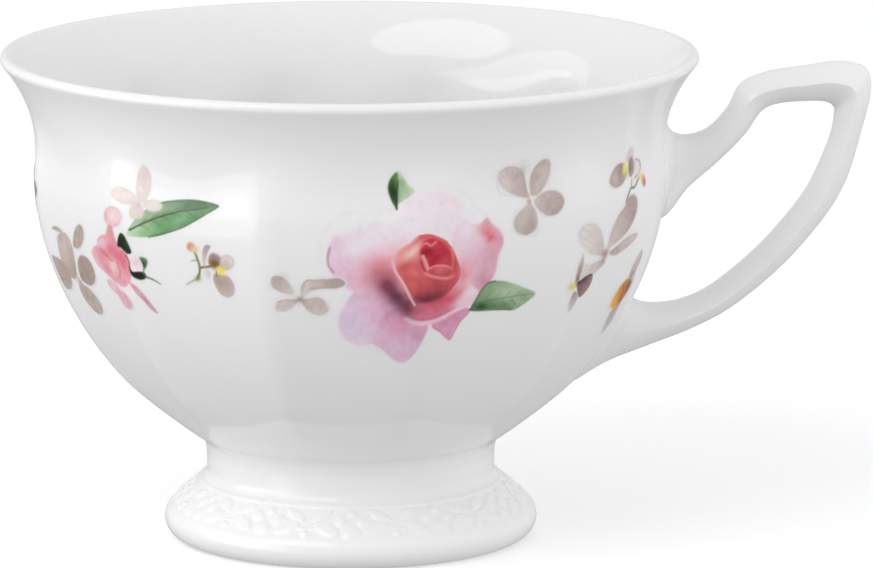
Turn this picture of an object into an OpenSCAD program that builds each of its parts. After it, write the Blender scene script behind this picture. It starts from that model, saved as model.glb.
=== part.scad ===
// A footed porcelain teacup: a softly many-sided bowl with a flared lip, a low pedestal foot
// with a moulded fruit-and-leaf border, an angular handle, and printed flowers.
// Origin: middle of the foot, on the table. +Z is up and +X points along the handle.
// An angle on the bowl is 0 at the front (-Y) and 90 at the handle (+X).

/* [Bowl] */
// Diameter across the lip
rim_d = 100.6; // [100:0.2:102]
// Height of the whole cup
cup_h = 71; // [70:0.5:72]
// Width of the body across two opposite flat sides
body_w = 90.4; // [90:0.2:92]
// Thickness of the side wall
wall = 2.2; // [1.8:0.1:2.6]
// Thickness of the rounded lip
lip = 1.7; // [1.3:0.1:2]
// Thickness of the floor inside
floor_t = 3; // [2.4:0.1:3.6]
// How far the lip leans outward, in degrees
flare_angle = 40; // [36:1:44]
// How flat the sides are: 1 is flat between its corners, and less is rounder
facet_strength = 1; // [0.5:0.1:1]

/* [Foot] */
// Widest diameter of the foot
foot_d = 54.2; // [53:0.2:56]
// Diameter of the foot's waist
waist_d = 41.8; // [41:0.2:42.6]
// Width of the flat ring that the cup stands on
ring_w = 2.2; // [1.8:0.1:2.6]
// How many fruit-and-leaf groups go round the border
border_groups = 12; // [10:1:12]

/* [Handle] */
// Width of the handle from front to back, at its arms
handle_w = 8; // [7:0.2:9]
// Width of the handle where it meets the bowl
root_w = 10.4; // [9:0.2:11]

/* [Joints and printed film] */
// Thickness of the clay layer that holds the foot and the handle
slip_t = 0.3; // [0.2:0.05:0.4]
// Thickness of a printed flower film
film_t = 0.12; // [0.1:0.01:0.2]

/* [Hidden] */
$fn = 96;

white = "#f4f4f6";
bisque = "#e6e2da";
pink = "#dd93ad";
taupe = "#b5aca6";
leaf_green = "#7fb083";
viola_gold = "#e3c46c";

// The body has 12 flat sides, so one lies flat under the handle.
sides = 12;
side_angle = 360 / sides;
// Directions within one side that carry points: flat in the middle, round at the corner
side_steps = [-12.5, -4.5, 4.5, 12.5, 15];
// Radius that rounds each corner between two sides
corner_r = 8;

flat_r = body_w / 2;
inner_r = flat_r - wall;
lip_r = lip / 2;
lip_mid_r = rim_d / 2 - lip_r;
lip_mid_z = cup_h - lip_r;

// The flare is an arc that leaves the wall upright and reaches the lip at flare_angle.
// side = 1 is the outside of the wall, and side = -1 is the inside.
function flare_end(side) = [
    lip_mid_r + side * lip_r * cos(flare_angle),
    lip_mid_z - side * lip_r * sin(flare_angle)
];
function flare_arc_r(r, side) = (flare_end(side)[0] - r) / (1 - cos(flare_angle));
function flare_start_z(r, side) = flare_end(side)[1] - flare_arc_r(r, side) * sin(flare_angle);

// Lowest point of the bowl's underside, inside the foot
bowl_bottom_z = 7.2;
// Height at which the belly's curve ends and the upright part of the wall starts
belly_z = min(flare_start_z(flat_r, 1), flare_start_z(inner_r, -1)) - 0.6;
belly_drop = belly_z - bowl_bottom_z;
inner_drop = belly_drop - floor_t;
// Exponent of the belly's curve: 2 would be an ellipse
belly_power = 1.8;

// Radius of the belly's curve, from 0 at the bottom of the bowl to r at its widest level
function belly_r(z, r, drop) =
    z >= belly_z ? r
    : z <= belly_z - drop ? 0
    : r * pow(1 - pow((belly_z - z) / drop, belly_power), 1 / belly_power);

// Radius of the bowl's outside at a height, in the middle of a flat side
function outer_r(z) =
    let (start = flare_start_z(flat_r, 1), arc_r = flare_arc_r(flat_r, 1))
    z > start ? flat_r + arc_r - sqrt(max(pow(arc_r, 2) - pow(z - start, 2), 0))
    : belly_r(z, flat_r, belly_drop);

// The flat sides fade out towards the foot and towards the lip.
function smooth(t) = let (c = min(max(t, 0), 1)) c * c * (3 - 2 * c);
function facet(z) = facet_strength * smooth((z - 16) / 9) * (1 - smooth((z - 54) / 10));

// How much further out the wall is at an angle than in the middle of its side
function side_offset(a) = (a + side_angle / 2) % side_angle - side_angle / 2;
corner_mid = (flat_r - corner_r) / cos(side_angle / 2);
corner_start = atan(tan(side_angle / 2) * (flat_r - corner_r) / flat_r);
function side_r(off) =
    let (from_corner = side_angle / 2 - off)
    off <= corner_start ? flat_r / cos(off)
    : corner_mid * cos(from_corner)
        + sqrt(pow(corner_r, 2) - pow(corner_mid * sin(from_corner), 2));
function facet_gain(a, z) =
    1 + facet(z) * (side_r(abs(side_offset(a + 360))) / flat_r - 1);

// A place on the bowl's outside, by angle and height, raised by a distance
function on_bowl(a, z, up) =
    let (r = outer_r(z) * facet_gain(a, z) + up) [r * sin(a), -r * cos(a), z];

// Rings of the bowl, from the bottom outside over the lip to the bottom inside
belly_steps = 17;
flare_steps = 7;
lip_steps = 5;
function belly_rings(r, drop) = [
    for (i = [1 : belly_steps])
        let (t = 90 * (1 - i / belly_steps))
        [r * pow(cos(t), 2 / belly_power), belly_z - drop * pow(sin(t), 2 / belly_power)]
];
function flare_rings(r, side) = [
    for (i = [1 : flare_steps])
        let (t = flare_angle * i / flare_steps, arc_r = flare_arc_r(r, side))
        [r + arc_r * (1 - cos(t)), flare_start_z(r, side) + arc_r * sin(t)]
];
outer_rings = concat(belly_rings(flat_r, belly_drop), flare_rings(flat_r, 1));
inner_rings = concat(belly_rings(inner_r, inner_drop), flare_rings(inner_r, -1));
lip_rings = [
    for (i = [1 : lip_steps - 1])
        let (t = 180 * i / lip_steps - flare_angle)
        [lip_mid_r + lip_r * cos(t), lip_mid_z + lip_r * sin(t)]
];
bowl_rings = concat(
    outer_rings,
    lip_rings,
    [for (i = [len(inner_rings) - 1 : -1 : 0]) inner_rings[i]]
);
bowl_angles = [for (s = [0 : sides - 1], step = side_steps) s * side_angle + step];

// A closed skin over rings of points, with one point at each end
function ring_quads(rings, count) = [
    for (k = [0 : rings - 2], i = [0 : count - 1])
        let (j = (i + 1) % count)
        for (tri = [[k * count + i, k * count + j, (k + 1) * count + j],
                    [k * count + i, (k + 1) * count + j, (k + 1) * count + i]]) tri
];
module skin(rings, first, last) {
    count = len(rings[0]);
    total = len(rings) * count;
    points = concat([for (ring = rings, p = ring) p], [first, last]);
    start_fan = [for (i = [0 : count - 1]) [total, (i + 1) % count, i]];
    end_fan = [
        for (i = [0 : count - 1])
            [total + 1, total - count + i, total - count + (i + 1) % count]
    ];
    faces = concat(start_fan, ring_quads(len(rings), count), end_fan);
    polyhedron(points = points, faces = [for (f = faces) [f[2], f[1], f[0]]]);
}

module bowl() {
    rings = [
        for (ring = bowl_rings)
            [for (a = bowl_angles)
                let (r = ring[0] * facet_gain(a, ring[1])) [r * sin(a), -r * cos(a), ring[1]]]
    ];
    color(white)
        skin(rings, [0, 0, belly_z - belly_drop], [0, 0, belly_z - inner_drop]);
}

// Foot: a ring-shaped pedestal, open underneath up to the bowl
foot_r = foot_d / 2;
waist_r = waist_d / 2;
waist_z = 10;
foot_edge_r = 2.6;
foot_edge_z = 2.6;
ring_out_r = foot_r - foot_edge_r - 0.6;
ring_in_r = ring_out_r - ring_w;
// Top of the foot, where it takes the bowl
seat_out_r = 21.3;
seat_in_r = 17;
function bowl_z(r) = belly_z - belly_drop * pow(1 - pow(r / flat_r, belly_power), 1 / belly_power);
seat_steps = 4;
function seat_line(drop) = [
    for (i = [0 : seat_steps])
        let (r = seat_out_r + (seat_in_r - seat_out_r) * i / seat_steps) [r, bowl_z(r) - drop]
];
foot_edge = [
    for (t = [-75 : 15 : 45])
        [foot_r - foot_edge_r + foot_edge_r * cos(t), foot_edge_z + foot_edge_r * sin(t)]
];
// The slope that carries the border runs from the rounded edge up to the waist.
slope_low = foot_edge[len(foot_edge) - 1];
slope_high = [waist_r + 0.95, 8.4];
waist_curve = [
    for (t = [0.25 : 0.25 : 0.75])
        [
            slope_high[0] + (waist_r - slope_high[0]) * (1 - pow(1 - t, 2)),
            slope_high[1] + (waist_z - slope_high[1]) * t
        ]
];
foot_profile = concat(
    [[ring_in_r, 0], [ring_out_r, 0]],
    foot_edge,
    [slope_high],
    waist_curve,
    [[waist_r, waist_z], [waist_r + 0.05, 12.6], [waist_r + 0.2, 13.6]],
    seat_line(slip_t),
    [[seat_in_r + 0.3, 8.2], [ring_in_r - 0.9, 1.6], [ring_in_r - 0.5, 0.5]]
);

// The border stands this far out of the slope
border_h = 0.5;
slope_dir = atan2(slope_high[1] - slope_low[1], slope_high[0] - slope_low[0]);
// Puts a child on the slope: angle round the foot, share of the way up, and depth below the slope
module on_slope(a, share, depth) {
    p = slope_low + (slope_high - slope_low) * share;
    rotate([0, 0, a])
        translate([p[0], 0, p[1]])
            rotate([0, 180 - slope_dir, 0])
                translate([0, 0, -depth])
                    children();
}
module fruit(a, share, r) {
    on_slope(a, share, r - border_h)
        sphere(r, $fn = 24);
}
// A leaf is the overlap of two discs. turn is 0 for one that points down the slope.
module leaf(a, share, turn) {
    length = 4.4;
    width = 1.9;
    root = 0.6;
    arc_r = (pow(length, 2) + pow(width, 2)) / (4 * width);
    on_slope(a, share, root)
        rotate([0, 0, turn])
            intersection_for (side = [-1, 1])
                translate([0, side * (arc_r - width / 2), 0])
                    cylinder(r = arc_r, h = root + border_h * 0.8, $fn = 48);
}
// One group of the border: a bunch of three fruits between two leaves
module border_group(a) {
    fruit(a, 0.3, 1.25);
    fruit(a + 4.2, 0.66, 1);
    fruit(a - 3.8, 0.72, 0.95);
    leaf(a + 10.5, 0.5, 62);
    leaf(a - 10.5, 0.5, -62);
}

module foot() {
    color(white) {
        rotate_extrude()
            polygon(foot_profile);
        for (i = [0 : border_groups - 1])
            border_group(i * 360 / border_groups);
    }
}

module foot_slip_joint() {
    color(bisque)
        rotate_extrude()
            polygon(concat(
                seat_line(slip_t),
                [for (i = [seat_steps : -1 : 0]) seat_line(0.03)[i]]
            ));
}

// Handle: stations along the loop, each [outer x, outer z, inner x, inner z, half width share].
// The share runs from 0, the width at the arms, to 1, the width at the roots.
stations = [
    [45.4, 59.8, 45.2, 46.4, 1],
    [46.4, 59.0, 46.6, 47.7, 0.75],
    [48.6, 58.5, 49.0, 50.9, 0.35],
    [51.6, 59.5, 53.2, 54.6, 0.1],
    [54.4, 62.4, 57.0, 58.5, 0],
    [56.4, 66.0, 59.3, 61.8, 0],
    [60.2, 67.7, 61.6, 63.0, 0],
    [65.2, 68.5, 65.6, 63.4, 0],
    [70.6, 69.2, 68.6, 63.3, 0],
    [74.5, 68.2, 69.8, 62.6, 0],
    [75.2, 64.8, 69.9, 61.6, 0],
    [73.9, 59.0, 69.4, 58.6, 0],
    [71.9, 52.2, 67.5, 53.7, 0],
    [68.8, 46.6, 65.1, 49.3, 0],
    [62.8, 39.5, 59.5, 42.6, 0],
    [55.6, 33.4, 52.8, 36.8, 0.05],
    [49.6, 30.1, 48.0, 34.4, 0.15],
    [43.2, 27.6, 43.4, 33.8, 0.5],
    [37.2, 25.2, 40.8, 34.6, 0.8],
    [32.9, 22.6, 40.2, 35.4, 0.9]
];
// Smooth curve through the stations: t counts stations from 0
function mix4(a, b, c, d, t) =
    0.5 * (2 * b + (c - a) * t + (2 * a - 5 * b + 4 * c - d) * t * t
        + (3 * b - 3 * c + d - a) * t * t * t);
function station(t) =
    let (
        last = len(stations) - 1,
        k = min(floor(t), last - 1),
        before = stations[max(k - 1, 0)],
        after = stations[min(k + 2, last)]
    )
    mix4(before, stations[k], stations[k + 1], after, t - k);

// One ring of the handle, a soft-edged section between its outer and inner edge
section_points = 14;
section_power = 2.5;
function soft(c) = sign(c) * pow(abs(c), 2 / section_power);
function handle_ring(t) =
    let (
        s = station(t),
        mid = [(s[0] + s[2]) / 2, (s[1] + s[3]) / 2],
        out = [(s[0] - s[2]) / 2, (s[1] - s[3]) / 2],
        half_w = (handle_w + (root_w - handle_w) * s[4]) / 2,
        last = len(stations) - 1,
        on_wall = t <= 0 || t >= last
    )
    [
        for (i = [0 : section_points - 1])
            let (
                a = 360 * i / section_points,
                z = mid[1] + out[1] * soft(cos(a)),
                x = mid[0] + out[0] * soft(cos(a)),
                y = half_w * soft(sin(a))
            )
            [on_wall ? outer_r(z) + slip_t : x, y, z]
    ];
function middle(ring) = [for (k = [0 : 2]) [for (p = ring) p[k]] * [for (p = ring) 1] / len(ring)];
function wall_point(p) = [outer_r(p[2]) + slip_t, 0, p[2]];

module handle() {
    last = len(stations) - 1;
    rings_per_station = 3;
    rings = [
        for (i = [0 : last * rings_per_station]) handle_ring(i / rings_per_station)
    ];
    color(white)
        skin(rings, wall_point(middle(rings[0])), wall_point(middle(rings[len(rings) - 1])));
}

// A thin piece that lies on the bowl, around the angle and height given. outline is its edge:
// u millimetres round the wall, and v millimetres up. The layers run from its middle to its edge.
module film(a0, z0, outline, low, high, layers = 1) {
    count = len(outline);
    mid = [for (k = [0, 1]) [for (p = outline) p[k]] * [for (p = outline) 1] / count];
    function place(p, up) =
        on_bowl(a0 + p[0] / outer_r(z0) * 180 / PI, z0 + p[1], up);
    function ring(share, up) = [for (p = outline) place(mid + (p - mid) * share, up)];
    rings = concat(
        [for (k = [1 : layers]) ring(k / layers, low)],
        [for (k = [layers : -1 : 1]) ring(k / layers, high)]
    );
    skin(rings, place(mid, low), place(mid, high));
}

module handle_upper_slip_joint() {
    half_h = (stations[0][1] - stations[0][3]) / 2 + 0.35;
    half_w = root_w / 2 + 0.35;
    mid_z = (stations[0][1] + stations[0][3]) / 2;
    color(bisque)
        film(90, mid_z, [for (t = [0 : 15 : 345]) [half_w * soft(cos(t)), half_h * soft(sin(t))]],
            0.02, slip_t, 2);
}

module handle_lower_slip_joint() {
    end = stations[len(stations) - 1];
    half_h = (end[3] - end[1]) / 2 + 0.3;
    half_w = (handle_w + (root_w - handle_w) * end[4]) / 2 + 0.35;
    mid_z = (end[3] + end[1]) / 2;
    color(bisque)
        film(90, mid_z, [for (t = [0 : 15 : 345]) [half_w * soft(cos(t)), half_h * soft(sin(t))]],
            0.02, slip_t, 3);
}

// Shapes of the printed film
film_low = 0.01;
film_high = film_low + film_t;

// One petal or leaf: the middle's u and v, its length, its width and the way it points
module petal(a0, z0, p, pointed = false) {
    turn = p[4];
    power = pointed ? 1.6 : 1;
    outline = [
        for (t = [0 : 30 : 330])
            let (
                along = p[2] / 2 * cos(t),
                across = p[3] / 2 * sign(sin(t)) * pow(abs(sin(t)), power)
            )
            [
                p[0] + along * cos(turn) - across * sin(turn),
                p[1] + along * sin(turn) + across * cos(turn)
            ]
    ];
    film(a0, z0, outline, film_low, film_high, p[2] > 7 ? 2 : 1);
}
module petals(a0, z0, list, pointed = false) {
    for (p = list)
        petal(a0, z0, p, pointed);
}

// Edge of the main rose: its broad outer petals, anticlockwise from the top
rose_edge = [
    [3, 12], [0, 11.8], [-3, 9.6], [-8, 8], [-11.6, 5.8], [-12.8, 2.6], [-11, -0.8],
    [-8.9, -2.4], [-10.6, -4.4], [-11.2, -7], [-9.4, -10], [-6.4, -10.3], [-4.4, -10.9],
    [-1.2, -13], [0.4, -11.8], [1.6, -9.6], [1.8, -7.7], [3, -7.9], [6.2, -10], [7, -8],
    [8.6, -5.8], [9.9, -3.8], [11.4, -1.2], [12.2, 1.4], [12.7, 4], [11.8, 6.2],
    [10, 7.4], [6.6, 9], [5.2, 10.6]
];

module main_rose(a) {
    color(pink)
        film(a + 12, 46, rose_edge, film_low, film_high, 4);
    color(leaf_green) {
        petal(a + 12, 46, [-2.8, 12.4, 5.2, 3.4, 96], true);
        petal(a + 12, 46, [14.4, -4.7, 10.6, 4.8, 8], true);
    }
}

module left_blossom(a) {
    color(taupe)
        petals(a - 9, 42.6, [
            [-2.4, 2.1, 4, 2.4, 135],
            [-2.1, -0.9, 3.2, 1.5, 195],
            [2.1, -0.9, 4.2, 2.4, -15],
            [3, 2.4, 6.6, 1.8, 12]
        ]);
}

module right_blossom(a) {
    color(taupe)
        petals(a + 33.5, 55.4, [
            [-2.7, 3.2, 6, 3.6, 140],
            [1.6, 3.2, 5.2, 2.9, 65],
            [3.2, -0.6, 4.8, 3.6, -8],
            [-0.5, -2.6, 4.4, 3.6, -105]
        ]);
}

module small_viola(a) {
    color(viola_gold)
        petals(a - 24.8, 45.8, [
            [0.6, 0.5, 1.8, 1.6, 0],
            [-0.3, 1.6, 1.6, 1.6, 60],
            [1.7, 1.7, 2.2, 1.8, 30],
            [0.9, -1.9, 3.2, 2.8, -60],
            [-1.5, 2.7, 2.8, 1.2, 70],
            [-3.6, 3.5, 1.2, 1.1, 0]
        ]);
    color(leaf_green)
        petals(a - 24.8, 45.8, [
            [-2, 0.6, 2.4, 0.5, 15],
            [-3.1, 0.9, 4.2, 0.5, 92],
            [-4.4, -1.7, 2.4, 0.5, 25],
            [-3.6, 1.5, 1.3, 0.5, 5]
        ]);
}

module side_rose(a) {
    color(pink)
        petals(a - 46.6, 48, [
            [0.3, 3.6, 4.6, 3.4, 70],
            [-3.6, -2, 6, 5, 20],
            [0.6, -2, 6.8, 4.4, 80],
            [-0.8, -7.6, 4, 2.4, -25],
            [4, -7.2, 5, 1.1, -58]
        ]);
    color(taupe)
        petals(a - 46.6, 48, [
            [6, 9.6, 5.2, 2.6, 88],
            [2.3, 7.5, 3.6, 2.4, 170],
            [7.5, 6.4, 3.2, 2, 20]
        ]);
    color(leaf_green) {
        petals(a - 46.6, 48, [[10.8, 4.9, 15.8, 4.2, 20]], true);
        petals(a - 46.6, 48, [
            [2.4, 0.7, 2.9, 1.6, 110],
            [4, -3.6, 2.6, 1.2, 0],
            [6.1, -4.4, 2.6, 0.5, -20],
            [4.6, -1.8, 2.6, 1.8, -20]
        ]);
    }
}

module left_blossoms(a) {
    color(taupe)
        petals(a - 63, 43, [
            [2.8, 4.8, 5, 2.4, 50],
            [2.6, -0.2, 5.6, 3.8, 15],
            [1, -5, 5.4, 3.6, -25],
            [-2.2, 2, 5, 4.4, 60],
            [-5, -1.8, 5, 3.6, 20],
            [-3.3, 4.8, 2.8, 0.8, -5]
        ]);
}

module handle_spray(a) {
    color(viola_gold)
        petals(a + 59, 47, [
            [-2.2, 9.8, 4.2, 2.8, 20],
            [0.9, 12.2, 2.4, 1.8, 90],
            [0.6, 10.6, 2.6, 2, 0],
            [3.6, 10.1, 3, 2.2, 0],
            [5.6, 8.1, 1.8, 1, -30],
            [-8.2, -5.4, 4.2, 2.6, -10],
            [-11.2, -4.9, 1.6, 1.4, 0],
            [-10.4, -2.2, 3, 0.8, -95],
            [-10.1, -7.1, 2.2, 1.2, -80],
            [6.4, -8.5, 4.4, 3.8, 0],
            [7.2, -12, 3.6, 1.6, 100],
            [7.9, -5.2, 2.4, 1.2, 100]
        ]);
    color(taupe)
        petals(a + 59, 47, [
            [0.5, 3.2, 7.8, 4, 48],
            [-8.4, 2.1, 7.6, 3.6, -30],
            [2, -0.9, 8, 1.6, 8],
            [-6.6, -2.6, 6.6, 2.2, 8]
        ]);
    color(leaf_green)
        petals(a + 59, 47, [
            [3.4, 7.7, 3.6, 0.5, 14],
            [1.4, 6.7, 2.4, 0.5, 55]
        ]);
}

module side_viola() {
    color(viola_gold)
        petals(-78.6, 52.6, [
            [0.4, 2, 3.2, 2.2, 90],
            [-1.6, 0.6, 3, 2.4, 160],
            [2, 0.4, 3, 2, 10],
            [0.2, -2, 3.2, 2.6, -85]
        ]);
}

bowl();
foot();
handle();
foot_slip_joint();
handle_upper_slip_joint();
handle_lower_slip_joint();
main_rose(0);  // front_main_rose
left_blossom(0);  // front_left_blossom
right_blossom(0);  // front_right_blossom
small_viola(0);  // front_small_viola
side_rose(0);  // front_side_rose
left_blossoms(0);  // front_left_blossoms
handle_spray(0);  // front_handle_spray
side_viola();
main_rose(180);  // back_main_rose
left_blossom(180);  // back_left_blossom
right_blossom(180);  // back_right_blossom
small_viola(180);  // back_small_viola
side_rose(180);  // back_side_rose
left_blossoms(180);  // back_left_blossoms
handle_spray(180);  // back_handle_spray
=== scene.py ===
"""A footed porcelain teacup with an angular handle and printed flowers.

Everything is worked out in millimetres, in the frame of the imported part, and written to
Blender in metres. Angles on the bowl are 0 at the front (-Y) and 90 at the handle (+X).
"""

from math import cos, pi, radians, sin, tan

import bpy
import numpy as np
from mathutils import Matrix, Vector


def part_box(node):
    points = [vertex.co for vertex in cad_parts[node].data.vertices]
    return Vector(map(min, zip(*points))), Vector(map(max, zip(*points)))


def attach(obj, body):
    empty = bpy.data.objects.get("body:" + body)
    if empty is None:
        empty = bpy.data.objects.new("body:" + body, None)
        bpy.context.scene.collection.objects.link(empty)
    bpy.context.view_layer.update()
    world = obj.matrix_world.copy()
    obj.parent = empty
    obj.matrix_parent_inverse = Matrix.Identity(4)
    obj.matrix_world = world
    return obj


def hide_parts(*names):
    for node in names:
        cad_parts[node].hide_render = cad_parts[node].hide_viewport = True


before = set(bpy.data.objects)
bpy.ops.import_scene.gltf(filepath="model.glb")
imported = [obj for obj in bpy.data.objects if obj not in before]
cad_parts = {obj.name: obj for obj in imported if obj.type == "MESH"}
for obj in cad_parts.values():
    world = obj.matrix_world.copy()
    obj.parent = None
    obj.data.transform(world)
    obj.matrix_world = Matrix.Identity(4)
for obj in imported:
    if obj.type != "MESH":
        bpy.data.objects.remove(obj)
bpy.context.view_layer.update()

MM = 0.001


def node_box(name):
    """Lowest and highest corner of a CAD node, in millimetres."""
    low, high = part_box(name)
    return low / MM, high / MM


# ------------------------------------------------------------------ sizes of the bowl
SIDES = 12
SIDE_ANGLE = 360 / SIDES
CORNER_R = 8.0
# The CAD's rim has its nearest corners this many degrees off the Y axis
RIM_CORNER = 4.5
BOWL_LOW, BOWL_HIGH = node_box("bowl")
RIM_R = BOWL_HIGH.y / cos(radians(RIM_CORNER))
CUP_H = BOWL_HIGH.z
FLAT_R = 45.2
WALL = 2.2
INNER_R = FLAT_R - WALL
FLOOR_T = 3.0
# The flat sides fade in over the first span of heights and out over the second
SIDES_IN = (16, 25)
SIDES_OUT = (54, 64)
LIP_R = 0.85
LIP_MID_R = RIM_R - LIP_R
LIP_MID_Z = CUP_H - LIP_R
FLARE = radians(40)
BELLY_POWER = 1.8
BOWL_BOTTOM_Z = BOWL_LOW.z
OUTSIDE, INSIDE = 1, -1


def flare_end(side):
    """Radius and height where the flare of a wall meets the rounded lip."""
    return LIP_MID_R + side * LIP_R * cos(FLARE), LIP_MID_Z - side * LIP_R * sin(FLARE)


def flare_arc_r(r, side):
    """Radius of the arc that flares a wall out from a radius."""
    return (flare_end(side)[0] - r) / (1 - cos(FLARE))


def flare_start_z(r, side):
    """Height where a wall begins to flare."""
    return flare_end(side)[1] - flare_arc_r(r, side) * sin(FLARE)


# The belly is widest a little below the start of both flares
BELLY_GAP = 0.6
BELLY_Z = min(flare_start_z(FLAT_R, OUTSIDE), flare_start_z(INNER_R, INSIDE)) - BELLY_GAP
BELLY_DROP = BELLY_Z - BOWL_BOTTOM_Z


def smooth(t):
    """An even change from 0 to 1, held outside that range."""
    t = np.clip(t, 0, 1)
    return t * t * (3 - 2 * t)


def belly_r(z, r, drop):
    """Radius of a wall below the belly's widest height; drop is how far down it reaches."""
    depth = np.clip((BELLY_Z - z) / drop, 0, 1)
    return r * (1 - depth ** BELLY_POWER) ** (1 / BELLY_POWER)


def bowl_z(r):
    """Height of the bowl's underside at a radius."""
    return BELLY_Z - BELLY_DROP * (1 - (r / FLAT_R) ** BELLY_POWER) ** (1 / BELLY_POWER)


def outer_r(z):
    """Radius of the bowl's outside at a height, in the middle of a flat side."""
    z = np.asarray(z, float)
    start = flare_start_z(FLAT_R, OUTSIDE)
    arc_r = flare_arc_r(FLAT_R, OUTSIDE)
    rise = np.clip(z - start, 0, None)
    flared = FLAT_R + arc_r - np.sqrt(np.clip(arc_r ** 2 - rise ** 2, 0, None))
    return np.where(z > start, flared, belly_r(z, FLAT_R, BELLY_DROP))


def facet_gain(az, z):
    """How much further out the wall is at an angle than in the middle of its flat side."""
    off = np.abs((az + SIDE_ANGLE / 2) % SIDE_ANGLE - SIDE_ANGLE / 2)
    corner_mid = (FLAT_R - CORNER_R) / cos(radians(SIDE_ANGLE / 2))
    corner_start = np.degrees(np.arctan(tan(radians(SIDE_ANGLE / 2)) * (FLAT_R - CORNER_R) / FLAT_R))
    to_corner = np.radians(SIDE_ANGLE / 2 - off)
    inside_root = np.clip(CORNER_R ** 2 - (corner_mid * np.sin(to_corner)) ** 2, 0, None)
    rounded = corner_mid * np.cos(to_corner) + np.sqrt(inside_root)
    side_r = np.where(off <= corner_start, FLAT_R / np.cos(np.radians(off)), rounded)
    fade_in, fade_out = (smooth((z - low) / (high - low)) for low, high in (SIDES_IN, SIDES_OUT))
    strength = fade_in * (1 - fade_out)
    return 1 + strength * (side_r / FLAT_R - 1)


def around(r, az, z):
    """A point at a radius, angle and height."""
    az = np.radians(az)
    r, az, z = np.broadcast_arrays(np.asarray(r, float), az, np.asarray(z, float))
    return np.stack([r * np.sin(az), -r * np.cos(az), z], axis=-1)


def on_bowl(az, z, up=0.0):
    """A point on the bowl's outside, raised by a distance."""
    return around(outer_r(z) * facet_gain(az, z) + up, az, z)


# ------------------------------------------------------------------ mesh helpers
def add_piece(name, points, faces, materials):
    """A smooth mesh object from points in millimetres."""
    mesh = bpy.data.meshes.new(name)
    mesh.from_pydata((np.asarray(points) * MM).tolist(), [], faces)
    mesh.validate()
    mesh.shade_smooth()
    for material in materials:
        mesh.materials.append(material)
    piece = bpy.data.objects.new(name, mesh)
    bpy.context.scene.collection.objects.link(piece)
    return piece


def grid_faces(rows, columns, closed):
    """Quads over a grid of points; closed joins the last column to the first."""
    count = columns if closed else columns - 1
    k, i = np.meshgrid(np.arange(rows - 1), np.arange(count), indexing="ij")
    j = (i + 1) % columns
    quads = np.stack([k * columns + i, k * columns + j, (k + 1) * columns + j, (k + 1) * columns + i], -1)
    return quads.reshape(-1, 4)


def fan(centre, ring, flip):
    """Triangles from a centre point to a closed ring of points."""
    after = np.roll(ring, -1)
    pairs = zip(after, ring) if flip else zip(ring, after)
    return [[int(centre), int(a), int(b)] for a, b in pairs]


# ------------------------------------------------------------------ materials
def node_material(name):
    """A new material with its node tree and its shader."""
    material = bpy.data.materials.new(name)
    material.use_nodes = True
    tree = material.node_tree
    return material, tree, tree.nodes["Principled BSDF"]


def noise(tree, scale, detail=2.0, roughness=0.5):
    """Noise over the piece's own space, at a scale given per metre."""
    place = tree.nodes.new("ShaderNodeTexCoord")
    texture = tree.nodes.new("ShaderNodeTexNoise")
    texture.inputs["Scale"].default_value = scale
    texture.inputs["Detail"].default_value = detail
    texture.inputs["Roughness"].default_value = roughness
    tree.links.new(place.outputs["Object"], texture.inputs["Vector"])
    return texture.outputs["Fac"]


def spread(tree, value, low, high):
    """Maps a 0-1 value to a range."""
    node = tree.nodes.new("ShaderNodeMapRange")
    node.inputs["To Min"].default_value = low
    node.inputs["To Max"].default_value = high
    tree.links.new(value, node.inputs["Value"])
    return node.outputs["Result"]


def two_tones(tree, value, first, second):
    """Mixes two colours by a value from 0 to 1."""
    node = tree.nodes.new("ShaderNodeMix")
    node.data_type = "RGBA"
    node.inputs["A"].default_value = (*first, 1)
    node.inputs["B"].default_value = (*second, 1)
    tree.links.new(value, node.inputs["Factor"])
    return node.outputs["Result"]


def add_bump(tree, shader, height, strength, distance):
    """Fine relief in the shading, with a distance in metres."""
    bump = tree.nodes.new("ShaderNodeBump")
    bump.inputs["Strength"].default_value = strength
    bump.inputs["Distance"].default_value = distance
    tree.links.new(height, bump.inputs["Height"])
    tree.links.new(bump.outputs["Normal"], shader.inputs["Normal"])


# The share of light that goes into the body of the porcelain
GLAZE_DEPTH = 0.12


def glaze(tree, shader, depth=GLAZE_DEPTH):
    """The glassy surface that every glazed piece shares: soft waves and an even gloss."""
    shader.inputs["IOR"].default_value = 1.5
    shader.inputs["Subsurface Weight"].default_value = depth
    shader.inputs["Subsurface Radius"].default_value = (1.0, 0.9, 0.8)
    shader.inputs["Subsurface Scale"].default_value = 0.0015
    tree.links.new(spread(tree, noise(tree, 90), 0.05, 0.09), shader.inputs["Roughness"])
    add_bump(tree, shader, noise(tree, 260, 1.0), strength=0.006, distance=0.001)


WHITE = 0.9


def make_porcelain(name, depth):
    """White glazed porcelain, with very faint cool patches."""
    material, tree, shader = node_material(name)
    cool = (WHITE * 0.985, WHITE * 0.985, WHITE * 0.99)
    tone = two_tones(tree, noise(tree, 28), (WHITE, WHITE, WHITE), cool)
    tree.links.new(tone, shader.inputs["Base Color"])
    glaze(tree, shader, depth)
    return material


def make_bisque():
    """The bare, matt porcelain of the ring that the cup stands on."""
    material, tree, shader = node_material("unglazed_ring")
    speck = two_tones(tree, noise(tree, 2400, 4.0), (0.80, 0.78, 0.74), (0.86, 0.85, 0.82))
    tree.links.new(speck, shader.inputs["Base Color"])
    shader.inputs["Roughness"].default_value = 0.75
    add_bump(tree, shader, noise(tree, 5000, 3.0), strength=0.25, distance=0.0001)
    return material


PORCELAIN = make_porcelain("glazed_porcelain", GLAZE_DEPTH)
# A fillet is an open skin, so no light goes into it
SLIP_GLAZE = make_porcelain("glazed_slip", 0.0)
BISQUE = make_bisque()


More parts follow.
